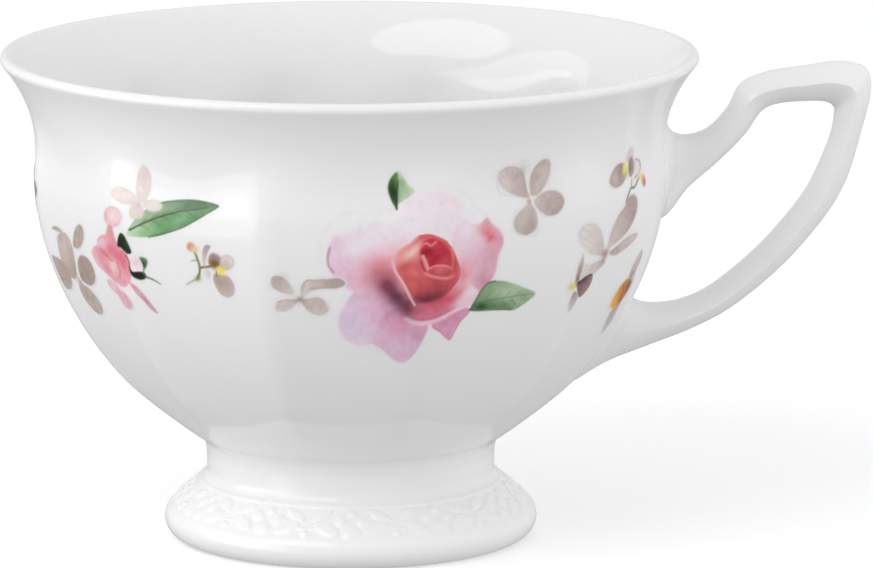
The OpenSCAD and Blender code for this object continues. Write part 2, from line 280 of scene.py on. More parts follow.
# ------------------------------------------------------------------ bowl
def belly_profile(r, drop, steps):
    """Radius and height of a wall from near its bottom up to the belly's widest height."""
    t = np.radians(90 * (1 - np.arange(1, steps + 1) / steps))
    power = 2 / BELLY_POWER
    return np.stack([r * np.cos(t) ** power, BELLY_Z - drop * np.sin(t) ** power], -1)


def flare_profile(r, side, steps):
    """Radius and height of a wall from the start of its flare to the lip."""
    t = FLARE * np.arange(0, steps + 1) / steps
    arc_r = flare_arc_r(r, side)
    return np.stack([r + arc_r * (1 - np.cos(t)), flare_start_z(r, side) + arc_r * np.sin(t)], -1)


def make_bowl():
    """One closed wall: up the outside, over the lip and down the inside."""
    columns = 480
    lip_steps = 12
    outside = np.concatenate([belly_profile(FLAT_R, BELLY_DROP, 72), flare_profile(FLAT_R, OUTSIDE, 22)])
    inside = np.concatenate([
        belly_profile(INNER_R, BELLY_DROP - FLOOR_T, 58),
        flare_profile(INNER_R, INSIDE, 20),
    ])
    t = np.radians(180 * np.arange(1, lip_steps) / lip_steps) - FLARE
    lip = np.stack([LIP_MID_R + LIP_R * np.cos(t), LIP_MID_Z + LIP_R * np.sin(t)], -1)
    profile = np.concatenate([outside, lip, inside[::-1]])
    az = np.arange(columns) * 360 / columns
    r = profile[:, :1] * facet_gain(az[None, :], profile[:, 1:])
    points = around(r, az[None, :], profile[:, 1:]).reshape(-1, 3)
    faces = grid_faces(len(profile), columns, closed=True).tolist()
    count = len(points)
    centres = [[0, 0, BOWL_BOTTOM_Z], [0, 0, BOWL_BOTTOM_Z + FLOOR_T]]
    faces += fan(count, np.arange(columns), flip=True)
    faces += fan(count + 1, np.arange(count - columns, count), flip=False)
    bowl = add_piece("bowl_porcelain", np.concatenate([points, centres]), faces, [PORCELAIN])
    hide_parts("bowl")
    return bowl


# ------------------------------------------------------------------ foot
FOOT_R = 27.1
WAIST_R = 20.9
WAIST_Z = 10.0
EDGE_R = 2.6
RING_OUT_R = FOOT_R - EDGE_R - 0.6
RING_IN_R = RING_OUT_R - 2.2
SLOPE_LOW = (FOOT_R - EDGE_R * (1 - cos(radians(45))), EDGE_R * (1 + sin(radians(45))))
SLOPE_HIGH = (WAIST_R + 0.95, 8.4)
NECK_TOP = (WAIST_R + 0.05, 12.6)
SEAT_OUT_R = 21.3
SEAT_IN_R = 17.0
# The seat reaches this far into the bowl, so that no gap shows
SEAT_LAP = 0.05
# The moulded border: groups round the foot, middle radius, width up the slope and height
BORDER_GROUPS = 12
BORDER_R = 24.5
BORDER_W = 6.0
BORDER_H = 0.30
# Share of the border given to points that have none of it
OFF_BORDER = -9.0


def line(start, end, steps):
    """Points from a start up to, but not at, an end."""
    t = np.linspace(0, 1, steps, endpoint=False)[:, None]
    return np.asarray(start) * (1 - t) + np.asarray(end) * t


def foot_profile():
    """The foot's outline and, for each point, its place on the border: 0 low, 1 high."""
    turn = np.radians(np.linspace(-90, 45, 26, endpoint=False))
    edge = np.stack([FOOT_R - EDGE_R + EDGE_R * np.cos(turn), EDGE_R + EDGE_R * np.sin(turn)], -1)
    slope = line(SLOPE_LOW, SLOPE_HIGH, 42)
    t = np.linspace(0, 1, 12, endpoint=False)[:, None]
    waist = np.concatenate([
        SLOPE_HIGH[0] + (WAIST_R - SLOPE_HIGH[0]) * (1 - (1 - t) ** 2),
        SLOPE_HIGH[1] + (WAIST_Z - SLOPE_HIGH[1]) * t,
    ], 1)
    neck = line((WAIST_R, WAIST_Z), NECK_TOP, 4)
    top = line(NECK_TOP, (SEAT_OUT_R, bowl_z(SEAT_OUT_R)), 5)
    seat_r = np.linspace(SEAT_OUT_R, SEAT_IN_R, 6)
    seat = np.stack([seat_r, bowl_z(seat_r) - SEAT_LAP], -1)
    hollow_top, hollow_low = (SEAT_IN_R + 0.3, 8.2), (RING_IN_R - 0.9, 1.6)
    ring_round, ring_in = (RING_IN_R - 0.5, 0.5), (RING_IN_R, 0)
    under = np.concatenate([
        line(hollow_top, hollow_low, 10),
        line(hollow_low, ring_round, 3),
        line(ring_round, ring_in, 3),
        line(ring_in, (RING_OUT_R, 0), 4),
    ])
    profile = np.concatenate([under, edge, slope, waist, neck, top, seat])
    along = (profile[:, 0] - SLOPE_LOW[0]) / (SLOPE_HIGH[0] - SLOPE_LOW[0])
    first = len(under)
    last = first + len(edge) + len(slope) + 2
    share = np.full(len(profile), OFF_BORDER)
    share[first:last] = along[first:last]
    lower_edge = (profile[:, 1] < SLOPE_LOW[1]) & (np.arange(len(profile)) >= first)
    drop = (profile[:, 1] - SLOPE_LOW[1]) / (SLOPE_HIGH[1] - SLOPE_LOW[1])
    share[lower_edge] = drop[lower_edge]
    return profile, share


def bump_of(distance, width):
    """A rounded bump: 1 in the middle, 0 from a distance of width outward."""
    return np.clip(1 - (distance / width) ** 2, 0, 1) ** 1.3


def border_height(az, share):
    """Height of the moulded fruit-and-leaf border, from 0 to 1, round the foot and up its slope."""
    group = 360 / BORDER_GROUPS
    x = ((az + group / 2) % group - group / 2) * radians(1) * BORDER_R
    y = share * BORDER_W
    half = group / 2 * radians(1) * BORDER_R

    def leaf(cx, cy, turn, length, width):
        turn = radians(turn)
        along = (x - cx) * cos(turn) + (y - cy) * sin(turn)
        across = -(x - cx) * sin(turn) + (y - cy) * cos(turn)
        half_w = width / 2 * np.clip(1 - (2 * along / length) ** 2, 0, 1) ** 0.8
        body = np.clip(1 - (across / np.maximum(half_w, 1e-6)) ** 2, 0, 1) ** 1.3
        vein = 1 - 0.3 * np.exp(-(across / 0.2) ** 2)
        return np.where(np.abs(along) < length / 2, body * vein * 0.85, 0)

    def fruit(cx, cy, r):
        return bump_of(np.hypot(x - cx, y - cy), r)

    # Fruits in the middle of each group, a leaf on each side of them, and a small fruit between groups
    height = np.zeros(np.broadcast(az, share).shape)
    for cx, cy, r in ((-0.1, 1.5, 1.5), (1.7, 3.2, 1.25), (-1.5, 3.4, 1.15), (0.2, 4.6, 0.85)):
        height = np.maximum(height, fruit(cx, cy, r))
    for side in (-1, 1):
        height = np.maximum(height, leaf(side * 3.5, 1.9, side * 30, 4.2, 2.5))
        height = np.maximum(height, leaf(side * 4.4, 4.2, side * -34, 3.6, 2.0))
        height = np.maximum(height, fruit(side * half, 1.0, 0.8))
    # A waving stem behind them, and a thin bead along the top
    stem = np.abs(y - 3.0 - 1.2 * np.cos(x / half * pi))
    height = np.maximum(height, 0.4 * bump_of(stem, 0.4))
    height = np.maximum(height, 0.4 * bump_of(np.abs(y - 5.9), 0.45))
    return height


def make_foot():
    """The foot, open underneath, with its border as relief at right angles to the slope."""
    columns = 840
    ring_top_z = 0.12
    profile, share = foot_profile()
    az = np.arange(columns) * 360 / columns
    relief = BORDER_H * border_height(az[None, :], share[:, None])
    slope = Vector((SLOPE_HIGH[0] - SLOPE_LOW[0], SLOPE_HIGH[1] - SLOPE_LOW[1])).normalized()
    r = profile[:, :1] + relief * slope.y
    z = profile[:, 1:] - relief * slope.x
    points = around(r, az[None, :], z).reshape(-1, 3)
    faces = grid_faces(len(profile), columns, closed=True)
    foot = add_piece("foot_porcelain", points, faces.tolist(), [PORCELAIN, BISQUE])
    on_ring = np.repeat((profile[:-1, 1] + profile[1:, 1]) / 2 < ring_top_z, columns)
    foot.data.polygons.foreach_set("material_index", on_ring.astype(np.int32))
    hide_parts("foot")
    return foot


# Fillets lie this far above the surface they cover
SKIN_UP = 0.01


def make_foot_fillet():
    """The soft concave line of glaze where the foot's neck meets the bowl."""
    columns = 240
    reach = 0.9
    # The neck leans out a little below the corner
    lean = 0.06
    corner = np.array([SEAT_OUT_R, bowl_z(SEAT_OUT_R)])
    low = np.array([NECK_TOP[0] + lean, corner[1] - reach])
    high = np.array([SEAT_OUT_R + reach, bowl_z(SEAT_OUT_R + reach)])
    t = np.linspace(0, 1, 9)[:, None]
    curve = (1 - t) ** 2 * low + 2 * t * (1 - t) * corner + t ** 2 * high
    az = np.arange(columns) * 360 / columns
    points = around(curve[:, :1] + SKIN_UP, az[None, :], curve[:, 1:]).reshape(-1, 3)
    faces = grid_faces(len(curve), columns, closed=True)
    fillet = add_piece("foot_joint_fillet", points, faces.tolist(), [SLIP_GLAZE])
    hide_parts("foot_slip_joint")
    return fillet


# ------------------------------------------------------------------ handle
HANDLE_W = 8.0
ROOT_W = 10.4
# Stations along the loop: outer x, outer z, inner x, inner z, share of the root's width
STATIONS = np.array([
    [43.8, 60.4, 43.4, 46.0, 1.0],
    [45.4, 59.8, 45.2, 46.4, 1.0],
    [46.4, 59.0, 46.6, 47.7, 0.75],
    [48.6, 58.5, 49.0, 50.9, 0.35],
    [51.6, 59.5, 53.2, 54.6, 0.1],
    [54.4, 62.4, 57.0, 58.5, 0.0],
    [56.4, 66.0, 59.3, 61.8, 0.0],
    [60.2, 67.7, 61.6, 63.0, 0.0],
    [65.2, 68.5, 65.6, 63.4, 0.0],
    [70.6, 69.2, 68.6, 63.3, 0.0],
    [74.5, 68.2, 69.8, 62.6, 0.0],
    [75.2, 64.8, 69.9, 61.6, 0.0],
    [73.9, 59.0, 69.4, 58.6, 0.0],
    [71.9, 52.2, 67.5, 53.7, 0.0],
    [68.8, 46.6, 65.1, 49.3, 0.0],
    [62.8, 39.5, 59.5, 42.6, 0.0],
    [55.6, 33.4, 52.8, 36.8, 0.05],
    [49.6, 30.1, 48.0, 34.4, 0.15],
    [43.2, 27.6, 43.4, 33.8, 0.5],
    [37.2, 25.2, 40.8, 34.6, 0.8],
    [32.9, 22.6, 40.2, 35.4, 0.9],
])
# How far the soft ridge is pushed outward, as a share of half the thickness
RIDGE_SHIFT = 0.12
# Power of the section's curve on the loop, nearly pointed, and how much rounder it is at a root
SECTION_POWER = 1.14
ROOT_POWER = 0.95
# The handle's ends are buried this deep in the wall
BURIED = 1.2


def catmull_rom(p0, p1, p2, p3, f):
    """A smooth curve from p1 to p2, at a share f of the way."""
    square, cube = 2 * p0 - 5 * p1 + 4 * p2 - p3, 3 * p1 - 3 * p2 + p3 - p0
    return 0.5 * (2 * p1 + (p2 - p0) * f + square * f ** 2 + cube * f ** 3)


def through_stations(t):
    """The handle's sizes between the stations; t counts stations."""
    last = len(STATIONS) - 1
    k = np.clip(np.floor(t).astype(int), 0, last - 1)
    f = (t - k)[:, None]
    p0, p1 = STATIONS[np.clip(k - 1, 0, last)], STATIONS[k]
    p2, p3 = STATIONS[k + 1], STATIONS[np.clip(k + 2, 0, last)]
    return catmull_rom(p0, p1, p2, p3, f)


def handle_surface(t, phi):
    """Points of the handle at stations t (rows) and angles phi round its section (columns)."""
    s = through_stations(t)
    share = s[:, 4:5]
    mid = (s[:, 0:2] + s[:, 2:4]) / 2
    out = (s[:, 0:2] - s[:, 2:4]) / 2
    half_w = (HANDLE_W + (ROOT_W - HANDLE_W) * share) / 2
    power = SECTION_POWER + ROOT_POWER * share
    c, w = np.cos(phi)[None, :], np.sin(phi)[None, :]
    h = np.sign(c) * np.abs(c) ** (2 / power) + RIDGE_SHIFT * (1 - share) * np.abs(w) * (1 - np.abs(c))
    x = mid[:, :1] + out[:, :1] * h
    z = mid[:, 1:] + out[:, 1:] * h
    return np.stack([x, half_w * w, z], -1)


def wall_gap(points):
    """How far points are outside the bowl's outer surface, measured along the radius."""
    r = np.hypot(points[..., 0], points[..., 1])
    az = np.degrees(np.arctan2(points[..., 0], -points[..., 1]))
    return r - outer_r(points[..., 2]) * facet_gain(az, points[..., 2])


def moved_out(points, distance):
    """Points moved away from the cup's axis."""
    az = np.arctan2(points[..., 0], -points[..., 1])
    step = np.stack([distance * np.sin(az), -distance * np.cos(az), np.zeros_like(az)], -1)
    return points + step


SECTION_STEPS = 96
PHI = np.arange(SECTION_STEPS) * 2 * pi / SECTION_STEPS
STATION_STEPS = 20


def make_handle():
    """The loop of the handle, with open ends hidden in the wall of the bowl."""
    last = len(STATIONS) - 1
    t = np.linspace(0, last, last * STATION_STEPS + 1)
    points = handle_surface(t, PHI)
    inside = wall_gap(points).max(axis=1) < -BURIED
    points = points[~inside]
    # Buried points are drawn back into the middle of the wall
    points = moved_out(points, np.clip(-wall_gap(points) - BURIED, 0, None))
    faces = grid_faces(len(points), SECTION_STEPS, closed=True)
    handle = add_piece("handle_porcelain", points.reshape(-1, 3), faces.tolist(), [PORCELAIN])
    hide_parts("handle")
    return handle


def make_root_fillet(name, node, stations, reach, rise):
    """A concave skirt of glaze between the handle and the wall.

    It leaves the handle at a distance of rise from the wall and meets the wall at reach."""
    dense = np.linspace(stations[0], stations[1], 400)
    points = handle_surface(dense, PHI)
    gap = wall_gap(points)
    columns = np.arange(SECTION_STEPS)
    crossing = np.argmax(gap > 0.0, axis=0)
    leave = np.argmax(gap > rise, axis=0)
    on_wall = points[crossing, columns]
    start = points[leave, columns]
    az = np.degrees(np.arctan2(on_wall[:, 0], -on_wall[:, 1]))
    z = on_wall[:, 2]
    mid_az, mid_z = az.mean(), (z.min() + z.max()) / 2
    du = np.radians(az - mid_az) * FLAT_R
    dv = z - mid_z
    length = np.maximum(np.hypot(du, dv), 1e-6)
    end = on_bowl(az + np.degrees(reach * du / length / FLAT_R), z + reach * dv / length, SKIN_UP)
    t = np.linspace(0, 1, 21)[:, None, None]
    skirt = (1 - t) ** 2 * start + 2 * t * (1 - t) * on_wall + t ** 2 * end
    # The wall is curved, so the skirt is kept just above it
    skirt = moved_out(skirt, np.clip(SKIN_UP - wall_gap(skirt), 0, None))
    faces = grid_faces(len(skirt), SECTION_STEPS, closed=True)
    fillet = add_piece(name, skirt.reshape(-1, 3), faces.tolist(), [SLIP_GLAZE])
    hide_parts(node)
    return fillet


# ------------------------------------------------------------------ printed flowers
# How the white glaze beside the prints looks, and the share of every tone that is reflection
WHITE_TONE = 214.0
SHEEN = 0.022


def linear(tone):
    """A display tone from 0 to 255 as a share of light."""
    tone = np.asarray(tone, float) / 255
    return np.where(tone <= 0.04045, tone / 12.92, ((tone + 0.055) / 1.055) ** 2.4)


def curve_through(points, closed, steps=7):
    """Smooth curve through given points."""
    p = np.asarray(points, float)
    if closed:
        before, here, after, beyond = np.roll(p, 1, 0), p, np.roll(p, -1, 0), np.roll(p, -2, 0)
    else:
        padded = np.concatenate([[2 * p[0] - p[1]], p, [2 * p[-1] - p[-2]]])
        before, here, after, beyond = padded[:-3], padded[1:-2], padded[2:-1], padded[3:]
    f = (np.arange(steps) / steps)[None, :, None]
    a, b, c, d = (q[:, None, :] for q in (before, here, after, beyond))
    curve = catmull_rom(a, b, c, d, f)
    curve = curve.reshape(-1, 2)
    return curve if closed else np.concatenate([curve, p[-1:]])


LATTICE_SIZE = 64
LATTICE = np.random.default_rng(12).random((LATTICE_SIZE, LATTICE_SIZE))


def cloud(u, v, size):
    """Smooth random tone from 0 to 1, with patches of a size in millimetres."""
    x, y = u / size + 31.7, v / size + 17.3
    i, j = np.floor(x).astype(int), np.floor(y).astype(int)
    fx, fy = smooth(x - i), smooth(y - j)

    def corner(di, dj):
        return LATTICE[(i + di) % LATTICE_SIZE, (j + dj) % LATTICE_SIZE]

    low = corner(0, 0) * (1 - fx) + corner(1, 0) * fx
    high = corner(0, 1) * (1 - fx) + corner(1, 1) * fx
    return low * (1 - fy) + high * fy


class Print:
    """A motif painted on a grid of places (u, v) in millimetres: u to the right and v up."""

    def __init__(self, u, v):
        self.u, self.v = u, v
        self.tone = np.ones(u.shape + (3,))
        self.cover = np.zeros(u.shape)

    def window(self, points, margin):
        """The part of the grid near some points."""
        (u0, v0), (u1, v1) = points.min(0) - margin, points.max(0) + margin
        rows = np.flatnonzero((self.v[:, 0] >= v0) & (self.v[:, 0] <= v1))
        columns = np.flatnonzero((self.u[0] >= u0) & (self.u[0] <= u1))
        if not len(rows) or not len(columns):
            return slice(0, 0), slice(0, 0)
        return slice(rows[0], rows[-1] + 1), slice(columns[0], columns[-1] + 1)

    def lay(self, part, mask, colour):
        """Lays a colour over a part of the grid; mask is its opacity, colour its look when fired."""
        tint = np.clip((linear(colour) - SHEEN) / (linear(WHITE_TONE) - SHEEN), 0.004, 1.0)
        mask = np.clip(mask, 0, 1)
        self.tone[part] = self.tone[part] * (1 - mask[..., None]) + tint * mask[..., None]
        self.cover[part] = np.maximum(self.cover[part], mask)

    def distance(self, part, curve, closed):
        """Distance to a curve; for a closed one, it is positive inside and negative outside."""
        u, v = self.u[part], self.v[part]
        nearest = np.full(u.shape, 1e9)
        inside = np.zeros(u.shape, bool)
        ends = np.roll(curve, -1, 0) if closed else curve[1:]
        for (ax, ay), (bx, by) in zip(curve, ends):
            dx, dy = bx - ax, by - ay
            t = np.clip(((u - ax) * dx + (v - ay) * dy) / max(dx * dx + dy * dy, 1e-9), 0, 1)
            nearest = np.minimum(nearest, (u - ax - t * dx) ** 2 + (v - ay - t * dy) ** 2)
            if closed and ay != by:
                crosses = ((ay > v) != (by > v)) & (u < (bx - ax) * (v - ay) / (by - ay) + ax)
                inside ^= crosses
        nearest = np.sqrt(nearest)
        return np.where(inside, nearest, -nearest) if closed else nearest

    def grain(self, part, strength, size):
        """Uneven ink: a change of tone in patches of a size."""
        return strength * (cloud(self.u[part], self.v[part], size) - 0.5)[..., None]

    def petal(self, outline, root, near, far, soft=0.16, opacity=1.0, rim=None, veins=0.0, reach=None):
        """A closed shape whose colour runs from near, at its root, to far, at a distance of reach."""
        curve = curve_through(outline, closed=True)
        part = self.window(curve, soft + 0.2)
        u, v = self.u[part], self.v[part]
        edge = self.distance(part, curve, closed=True)
        away = np.hypot(u - root[0], v - root[1])
        reach = reach or np.hypot(*(curve - root).T).max()
        along = smooth(away / reach)
        colour = np.asarray(near) * (1 - along[..., None]) + np.asarray(far) * along[..., None]
        colour = colour + self.grain(part, 14, 0.9) + self.grain(part, 8, 0.3)
        if veins:
            angle = np.arctan2(v - root[1], u - root[0])
            fibre = np.sin(angle * 46 + 5 * cloud(u, v, 1.7)) * smooth(away / 1.2)
            colour = colour - veins * np.clip(fibre, 0, 1)[..., None]
        if rim is not None:
            ring = np.exp(-(edge / 0.24) ** 2)[..., None] * 0.75
            colour = colour * (1 - ring) + np.asarray(rim) * ring
        self.lay(part, smooth((edge + soft) / (2 * soft)) * opacity, colour)

    def wash(self, centre, size, turn, colour, opacity=1.0, hard=1.0, clip=None):
        """A soft elliptical patch of colour; clip limits it to a closed outline."""
        centre = np.asarray(centre, float)
        reach = max(size) * 1.3
        part = self.window(np.stack([centre - reach, centre + reach]), 0)
        u, v = self.u[part] - centre[0], self.v[part] - centre[1]
        turn = radians(turn)
        x = (u * cos(turn) + v * sin(turn)) / size[0]
        y = (v * cos(turn) - u * sin(turn)) / size[1]
        mask = np.exp(-((x * x + y * y) * 1.6) ** hard) * opacity
        if clip is not None:
            edge = self.distance(part, curve_through(clip, closed=True), closed=True)
            mask = mask * smooth((edge + 0.1) / 0.25)
        mask = np.where(mask > 0.012, mask, 0)
        self.lay(part, mask, np.asarray(colour) + self.grain(part, 12, 0.7))

    def fade(self, centre, size, turn, opacity):
        """A soft patch where the paint fades back into the white glaze."""
        painted = self.cover.copy()
        self.wash(centre, size, turn, (WHITE_TONE,) * 3, opacity)
        self.cover = painted

    def washes(self, patches, clip=None):
        """Soft patches, each with a centre, a size, a turn, a colour and an opacity."""
        for centre, size, turn, colour, opacity in patches:
            self.wash(centre, size, turn, colour, opacity, clip=clip)

    def stroke(self, points, width, colour, soft=0.12, opacity=1.0, taper=0.0):
        """A line through points; taper is how much thinner its last end is."""
        curve = curve_through(points, closed=False)
        part = self.window(curve, width + soft)
        edge = self.distance(part, curve, closed=False)
        half = width / 2
        if taper:
            start, end = curve[0], curve[-1]
            span = end - start
            t = ((self.u[part] - start[0]) * span[0] + (self.v[part] - start[1]) * span[1]) / (span @ span)
            half = half * (1 - taper * np.clip(t, 0, 1))
        colour = np.asarray(colour) + self.grain(part, 10, 0.5)
        self.lay(part, smooth((half + soft - edge) / (2 * soft)) * opacity, colour)


TAUPE = (192, 180, 175)


def paint_main_rose(ink):
    """The open pink rose with its two leaves."""
    top = [
        (-3, 9), (-2, 10.6), (-0.4, 11.7), (1.8, 12.1), (3.8, 11.7), (5.2, 10.8), (6.2, 9.4), (6, 6),
        (2, 4), (-2, 5),
    ]
    left = [
        (-12.7, 3.2), (-12.4, 4.6), (-11.6, 6), (-10, 7.1), (-8, 7.8), (-5.6, 7.9), (-3.4, 7),
        (-1.6, 5), (-2, 1), (-4, -2.4), (-6.4, -3), (-8.6, -2.5), (-10.2, -1.7), (-11.8, -0.2),
        (-12.5, 1.4),
    ]
    right = [
        (6.2, 7.6), (7.6, 7), (8.9, 7), (10, 7.7), (10.8, 6.8), (11.8, 6), (12.6, 5), (12.8, 3.6),
        (12.2, 2), (12.1, 0.6), (11.9, -0.8), (11.2, -2), (10.4, -3.4), (9.6, -4), (7, -2), (5, 1),
        (4.6, 5),
    ]
    lower_left = [
        (-8.6, -2), (-10.2, -4.2), (-11.2, -6.4), (-11, -8.4), (-9.8, -9.8), (-8, -10.5), (-6, -10.3),
        (-4.4, -10.6), (-2, -7), (-2.6, -3), (-5.6, -1),
    ]
    bottom = [
        (-5.8, -10), (-4.4, -11.2), (-2.9, -12.6), (-1.4, -13.2), (-0.2, -12.8), (0.9, -11.2),
        (1.7, -9.2), (2, -7.4), (0, -5.4), (-3, -4.8), (-5, -6.6),
    ]
    point = [(2.6, -7.3), (4.2, -8.8), (6, -10.1), (6.7, -8.8), (7.4, -7.4), (8.7, -5.7), (6, -5)]
    cup = [
        (-1.4, -5.8), (-1, -6.9), (0.4, -7.5), (2.2, -7.4), (4, -6.8), (6, -5.8), (8, -5.2),
        (9.7, -4.3), (9.4, -2.8), (7.6, -1.6), (6, -0.6), (3, -2), (0, -3), (-1.6, -3.8),
    ]
    core = [
        (-3.4, 2.2), (-2.6, 3.8), (-1.2, 4.8), (-0.2, 5.8), (1.2, 6), (2.4, 5.6), (3.8, 4.8),
        (4.8, 3.6), (5.6, 2), (6.2, 0.6), (6.2, -0.6), (5.4, -1.8), (4.2, -3), (2.6, -3.6), (0.6, -3.6),
        (-0.4, -3.2), (-1.4, -1.8), (-2.2, -0.6), (-3, 0.6),
    ]
    opening = [
        (0.1, 3.4), (0.4, 4.8), (1.4, 5.5), (2.8, 5.1), (4, 4.1), (4.8, 2.6), (4.7, 0.2), (3, 0.9),
        (1.4, 0.8), (0.5, 2),
    ]
    # The pale petals behind
    ink.petal(top, (1.5, 5), (220, 198, 206), (216, 202, 208), soft=0.6, opacity=0.8)
    ink.washes([
        ((0.6, 7.4), (5, 2.6), 0, (224, 206, 214), 0.55),
        ((3.2, 10.4), (4.2, 2), -12, (214, 198, 204), 0.6),
        ((-1, 10.4), (2, 1.6), 20, (218, 204, 212), 0.5),
    ])
    ink.petal(lower_left, (-4, -3), (206, 160, 182), (204, 186, 203), soft=0.3, opacity=0.97, reach=8)
    ink.washes([
        ((-8.6, -6.6), (3, 2.6), 0, (206, 186, 208), 0.6),
        ((-8.4, -9.6), (3.4, 1.2), 0, (208, 194, 206), 0.6),
    ], clip=lower_left)
    ink.petal(bottom, (-2, -5), (190, 132, 156), (202, 168, 190), soft=0.2, opacity=0.97, reach=7.8)
    ink.washes([
        ((-2.4, -11.2), (2, 2), 20, (202, 176, 194), 0.7),
        ((0.9, -8.8), (1.3, 2.4), 12, (192, 142, 166), 0.6),
    ], clip=bottom)
    ink.washes([
        ((-5.2, -8.4), (2.2, 3), 20, (206, 176, 196), 0.75),
        ((-3.4, -6.6), (2.6, 1.7), -20, (198, 144, 168), 0.7),
    ])
    ink.petal(left, (-1, 1), (212, 152, 168), (214, 190, 206), soft=0.5, opacity=0.97, reach=11.5)
    ink.washes([
        ((-6.2, 5.4), (7, 3), 15, (216, 206, 214), 0.9),
        ((-2.2, 6.6), (3.4, 2.2), -20, (220, 208, 215), 0.75),
    ])
    ink.fade((-7.2, 8), (6.5, 1.6), 10, 0.85)
    ink.washes([
        ((-10.4, 7), (2.4, 1.4), 40, (221, 216, 221), 0.8),
        ((-9.6, 3.6), (3, 2.2), 30, (220, 208, 218), 0.7),
        ((-4, 4), (3, 2), 50, (222, 200, 208), 0.7),
    ])
    ink.washes([
        ((-10.6, 1.2), (2.4, 3), 20, (208, 176, 194), 0.75),
        ((-8, -0.6), (3.6, 2.2), -25, (208, 160, 178), 0.8),
        ((-6.4, 1.4), (3, 2), 10, (216, 176, 188), 0.7),
        ((-11.6, 4.4), (1.3, 1.8), -25, (206, 172, 190), 0.7),
    ], clip=left)
    ink.petal(right, (5, 3), (220, 192, 202), (208, 160, 176), soft=0.3, opacity=0.95, reach=8.4)
    ink.washes([
        ((6.8, 6.4), (2.6, 2.6), 0, (222, 208, 216), 0.85),
        ((7.6, 4.4), (2.2, 1.8), 10, (210, 188, 202), 0.6),
        ((9.2, 1.2), (2.6, 2.6), 0, (196, 156, 172), 0.7),
    ])
    ink.washes([
        ((11.2, 2.6), (1.8, 2.6), 0, (190, 144, 158), 0.7),
        ((12, 4.2), (1.3, 2), 25, (206, 146, 160), 0.75),
        ((10.1, 5.6), (1.9, 1.2), -40, (204, 116, 120), 0.9),
        ((9.9, 6.8), (0.8, 1.2), -10, (210, 148, 152), 0.7),
        ((10.7, 4.7), (0.9, 0.7), 30, (190, 84, 92), 0.6),
        ((7.4, 0.8), (1.7, 2.4), 10, (214, 160, 172), 0.65),
        ((10.4, -1.8), (1.8, 2), 30, (186, 134, 152), 0.85),
    ], clip=right)
    ink.petal(point, (5, -5), (194, 132, 158), (200, 150, 174), soft=0.14, rim=(188, 124, 150))
    # The cupped petal under the heart
    ink.petal(cup, (2, -3.5), (192, 92, 110), (222, 178, 190), soft=0.22, reach=6.6)
    ink.washes([
        ((4.6, -3.9), (4, 1.6), 22, (194, 84, 102), 0.9),
        ((0.4, -5), (2.6, 1.6), 0, (184, 100, 120), 0.9),
        ((4, -5.5), (3, 1.1), 15, (188, 112, 130), 0.75),
        ((8.3, -3.3), (2.6, 1.5), 45, (220, 200, 208), 0.95),
        ((7, -4.5), (1.9, 0.9), 25, (214, 180, 188), 0.85),
    ], clip=cup)
    roll = [(-1.3, -6.4), (0, -7), (1.8, -7.1), (4, -6.5), (6.4, -5.4), (8.6, -4.8)]
    ink.stroke(roll, 0.6, (222, 190, 202), soft=0.3, opacity=0.85)
    ink.stroke(
        [(-1.2, -5.8), (0.2, -6.5), (2, -6.5), (4.2, -5.9), (6, -5.1)], 0.24, (172, 92, 112), soft=0.2,
        opacity=0.6,
    )
    # The shaded hollow to the left of the heart
    ink.washes([
        ((-4.8, 1.8), (3.2, 2), 30, (216, 152, 160), 0.85),
        ((-5.4, 0.4), (2.2, 2), 20, (196, 118, 128), 0.85),
        ((-3.6, 0), (2.2, 1.5), -45, (190, 102, 112), 0.85),
        ((-3.9, -1.9), (4.2, 2.2), -45, (158, 98, 112), 0.95),
        ((-2.7, -3.1), (3.3, 1.8), -48, (96, 54, 72), 0.97),
        ((-1.5, -4.6), (2.2, 1.3), -58, (98, 58, 68), 0.95),
        ((-4.2, -1.4), (1.6, 1.1), -40, (118, 56, 66), 0.8),
        ((-2, -1.3), (1.6, 0.9), -58, (198, 112, 120), 0.8),
        ((-1, -3), (1.3, 0.8), -60, (150, 66, 80), 0.85),
    ])
    # The heart
    ink.petal(core, (0.5, -1), (190, 88, 92), (194, 92, 96), soft=0.14)
    ink.washes([
        ((-1.5, 3.3), (2.9, 2.1), 48, (220, 152, 150), 0.95),
        ((-2.6, 2), (1.6, 1.4), 50, (222, 156, 154), 0.75),
        ((-1.8, 1.3), (1.8, 1.3), 15, (186, 80, 82), 0.95),
        ((-0.8, 3.6), (1.5, 0.5), 48, (234, 190, 184), 0.85),
        ((-0.5, 0.4), (1.2, 0.7), -30, (206, 116, 112), 0.75),
    ], clip=core)
    ink.petal(opening, (2, 3), (164, 48, 62), (178, 66, 78), soft=0.22, reach=3)
    ink.washes([
        ((1.3, 3.6), (0.8, 0.8), -30, (134, 30, 44), 0.9),
        ((0.6, 3.2), (0.5, 0.7), 0, (130, 28, 40), 0.9),
        ((2, 4.4), (1.1, 0.7), -20, (176, 66, 76), 0.8),
        ((3.2, 3.2), (1.6, 1.3), -40, (172, 56, 70), 0.7),
        ((2.4, 2.4), (1, 0.7), 0, (150, 40, 54), 0.8),
        ((3.6, 1.9), (1.2, 0.9), 0, (184, 78, 88), 0.8),
    ], clip=opening)
    ink.stroke([(0.1, 4.2), (0.9, 4.8), (1.5, 4.4), (2.2, 4.9)], 0.3, (214, 118, 116), opacity=0.9)
    ink.stroke(
        [(0.2, 5.5), (1.6, 5.7), (3.2, 5), (4.5, 3.7), (5.4, 1.8)], 0.42, (196, 90, 92), soft=0.2,
        opacity=0.9,
    )
    ink.stroke(
        [(4.6, 3.8), (4.9, 2.2), (4.8, 0.6), (4.8, -0.3)], 0.36, (212, 128, 128), soft=0.18,
        opacity=0.85,
    )
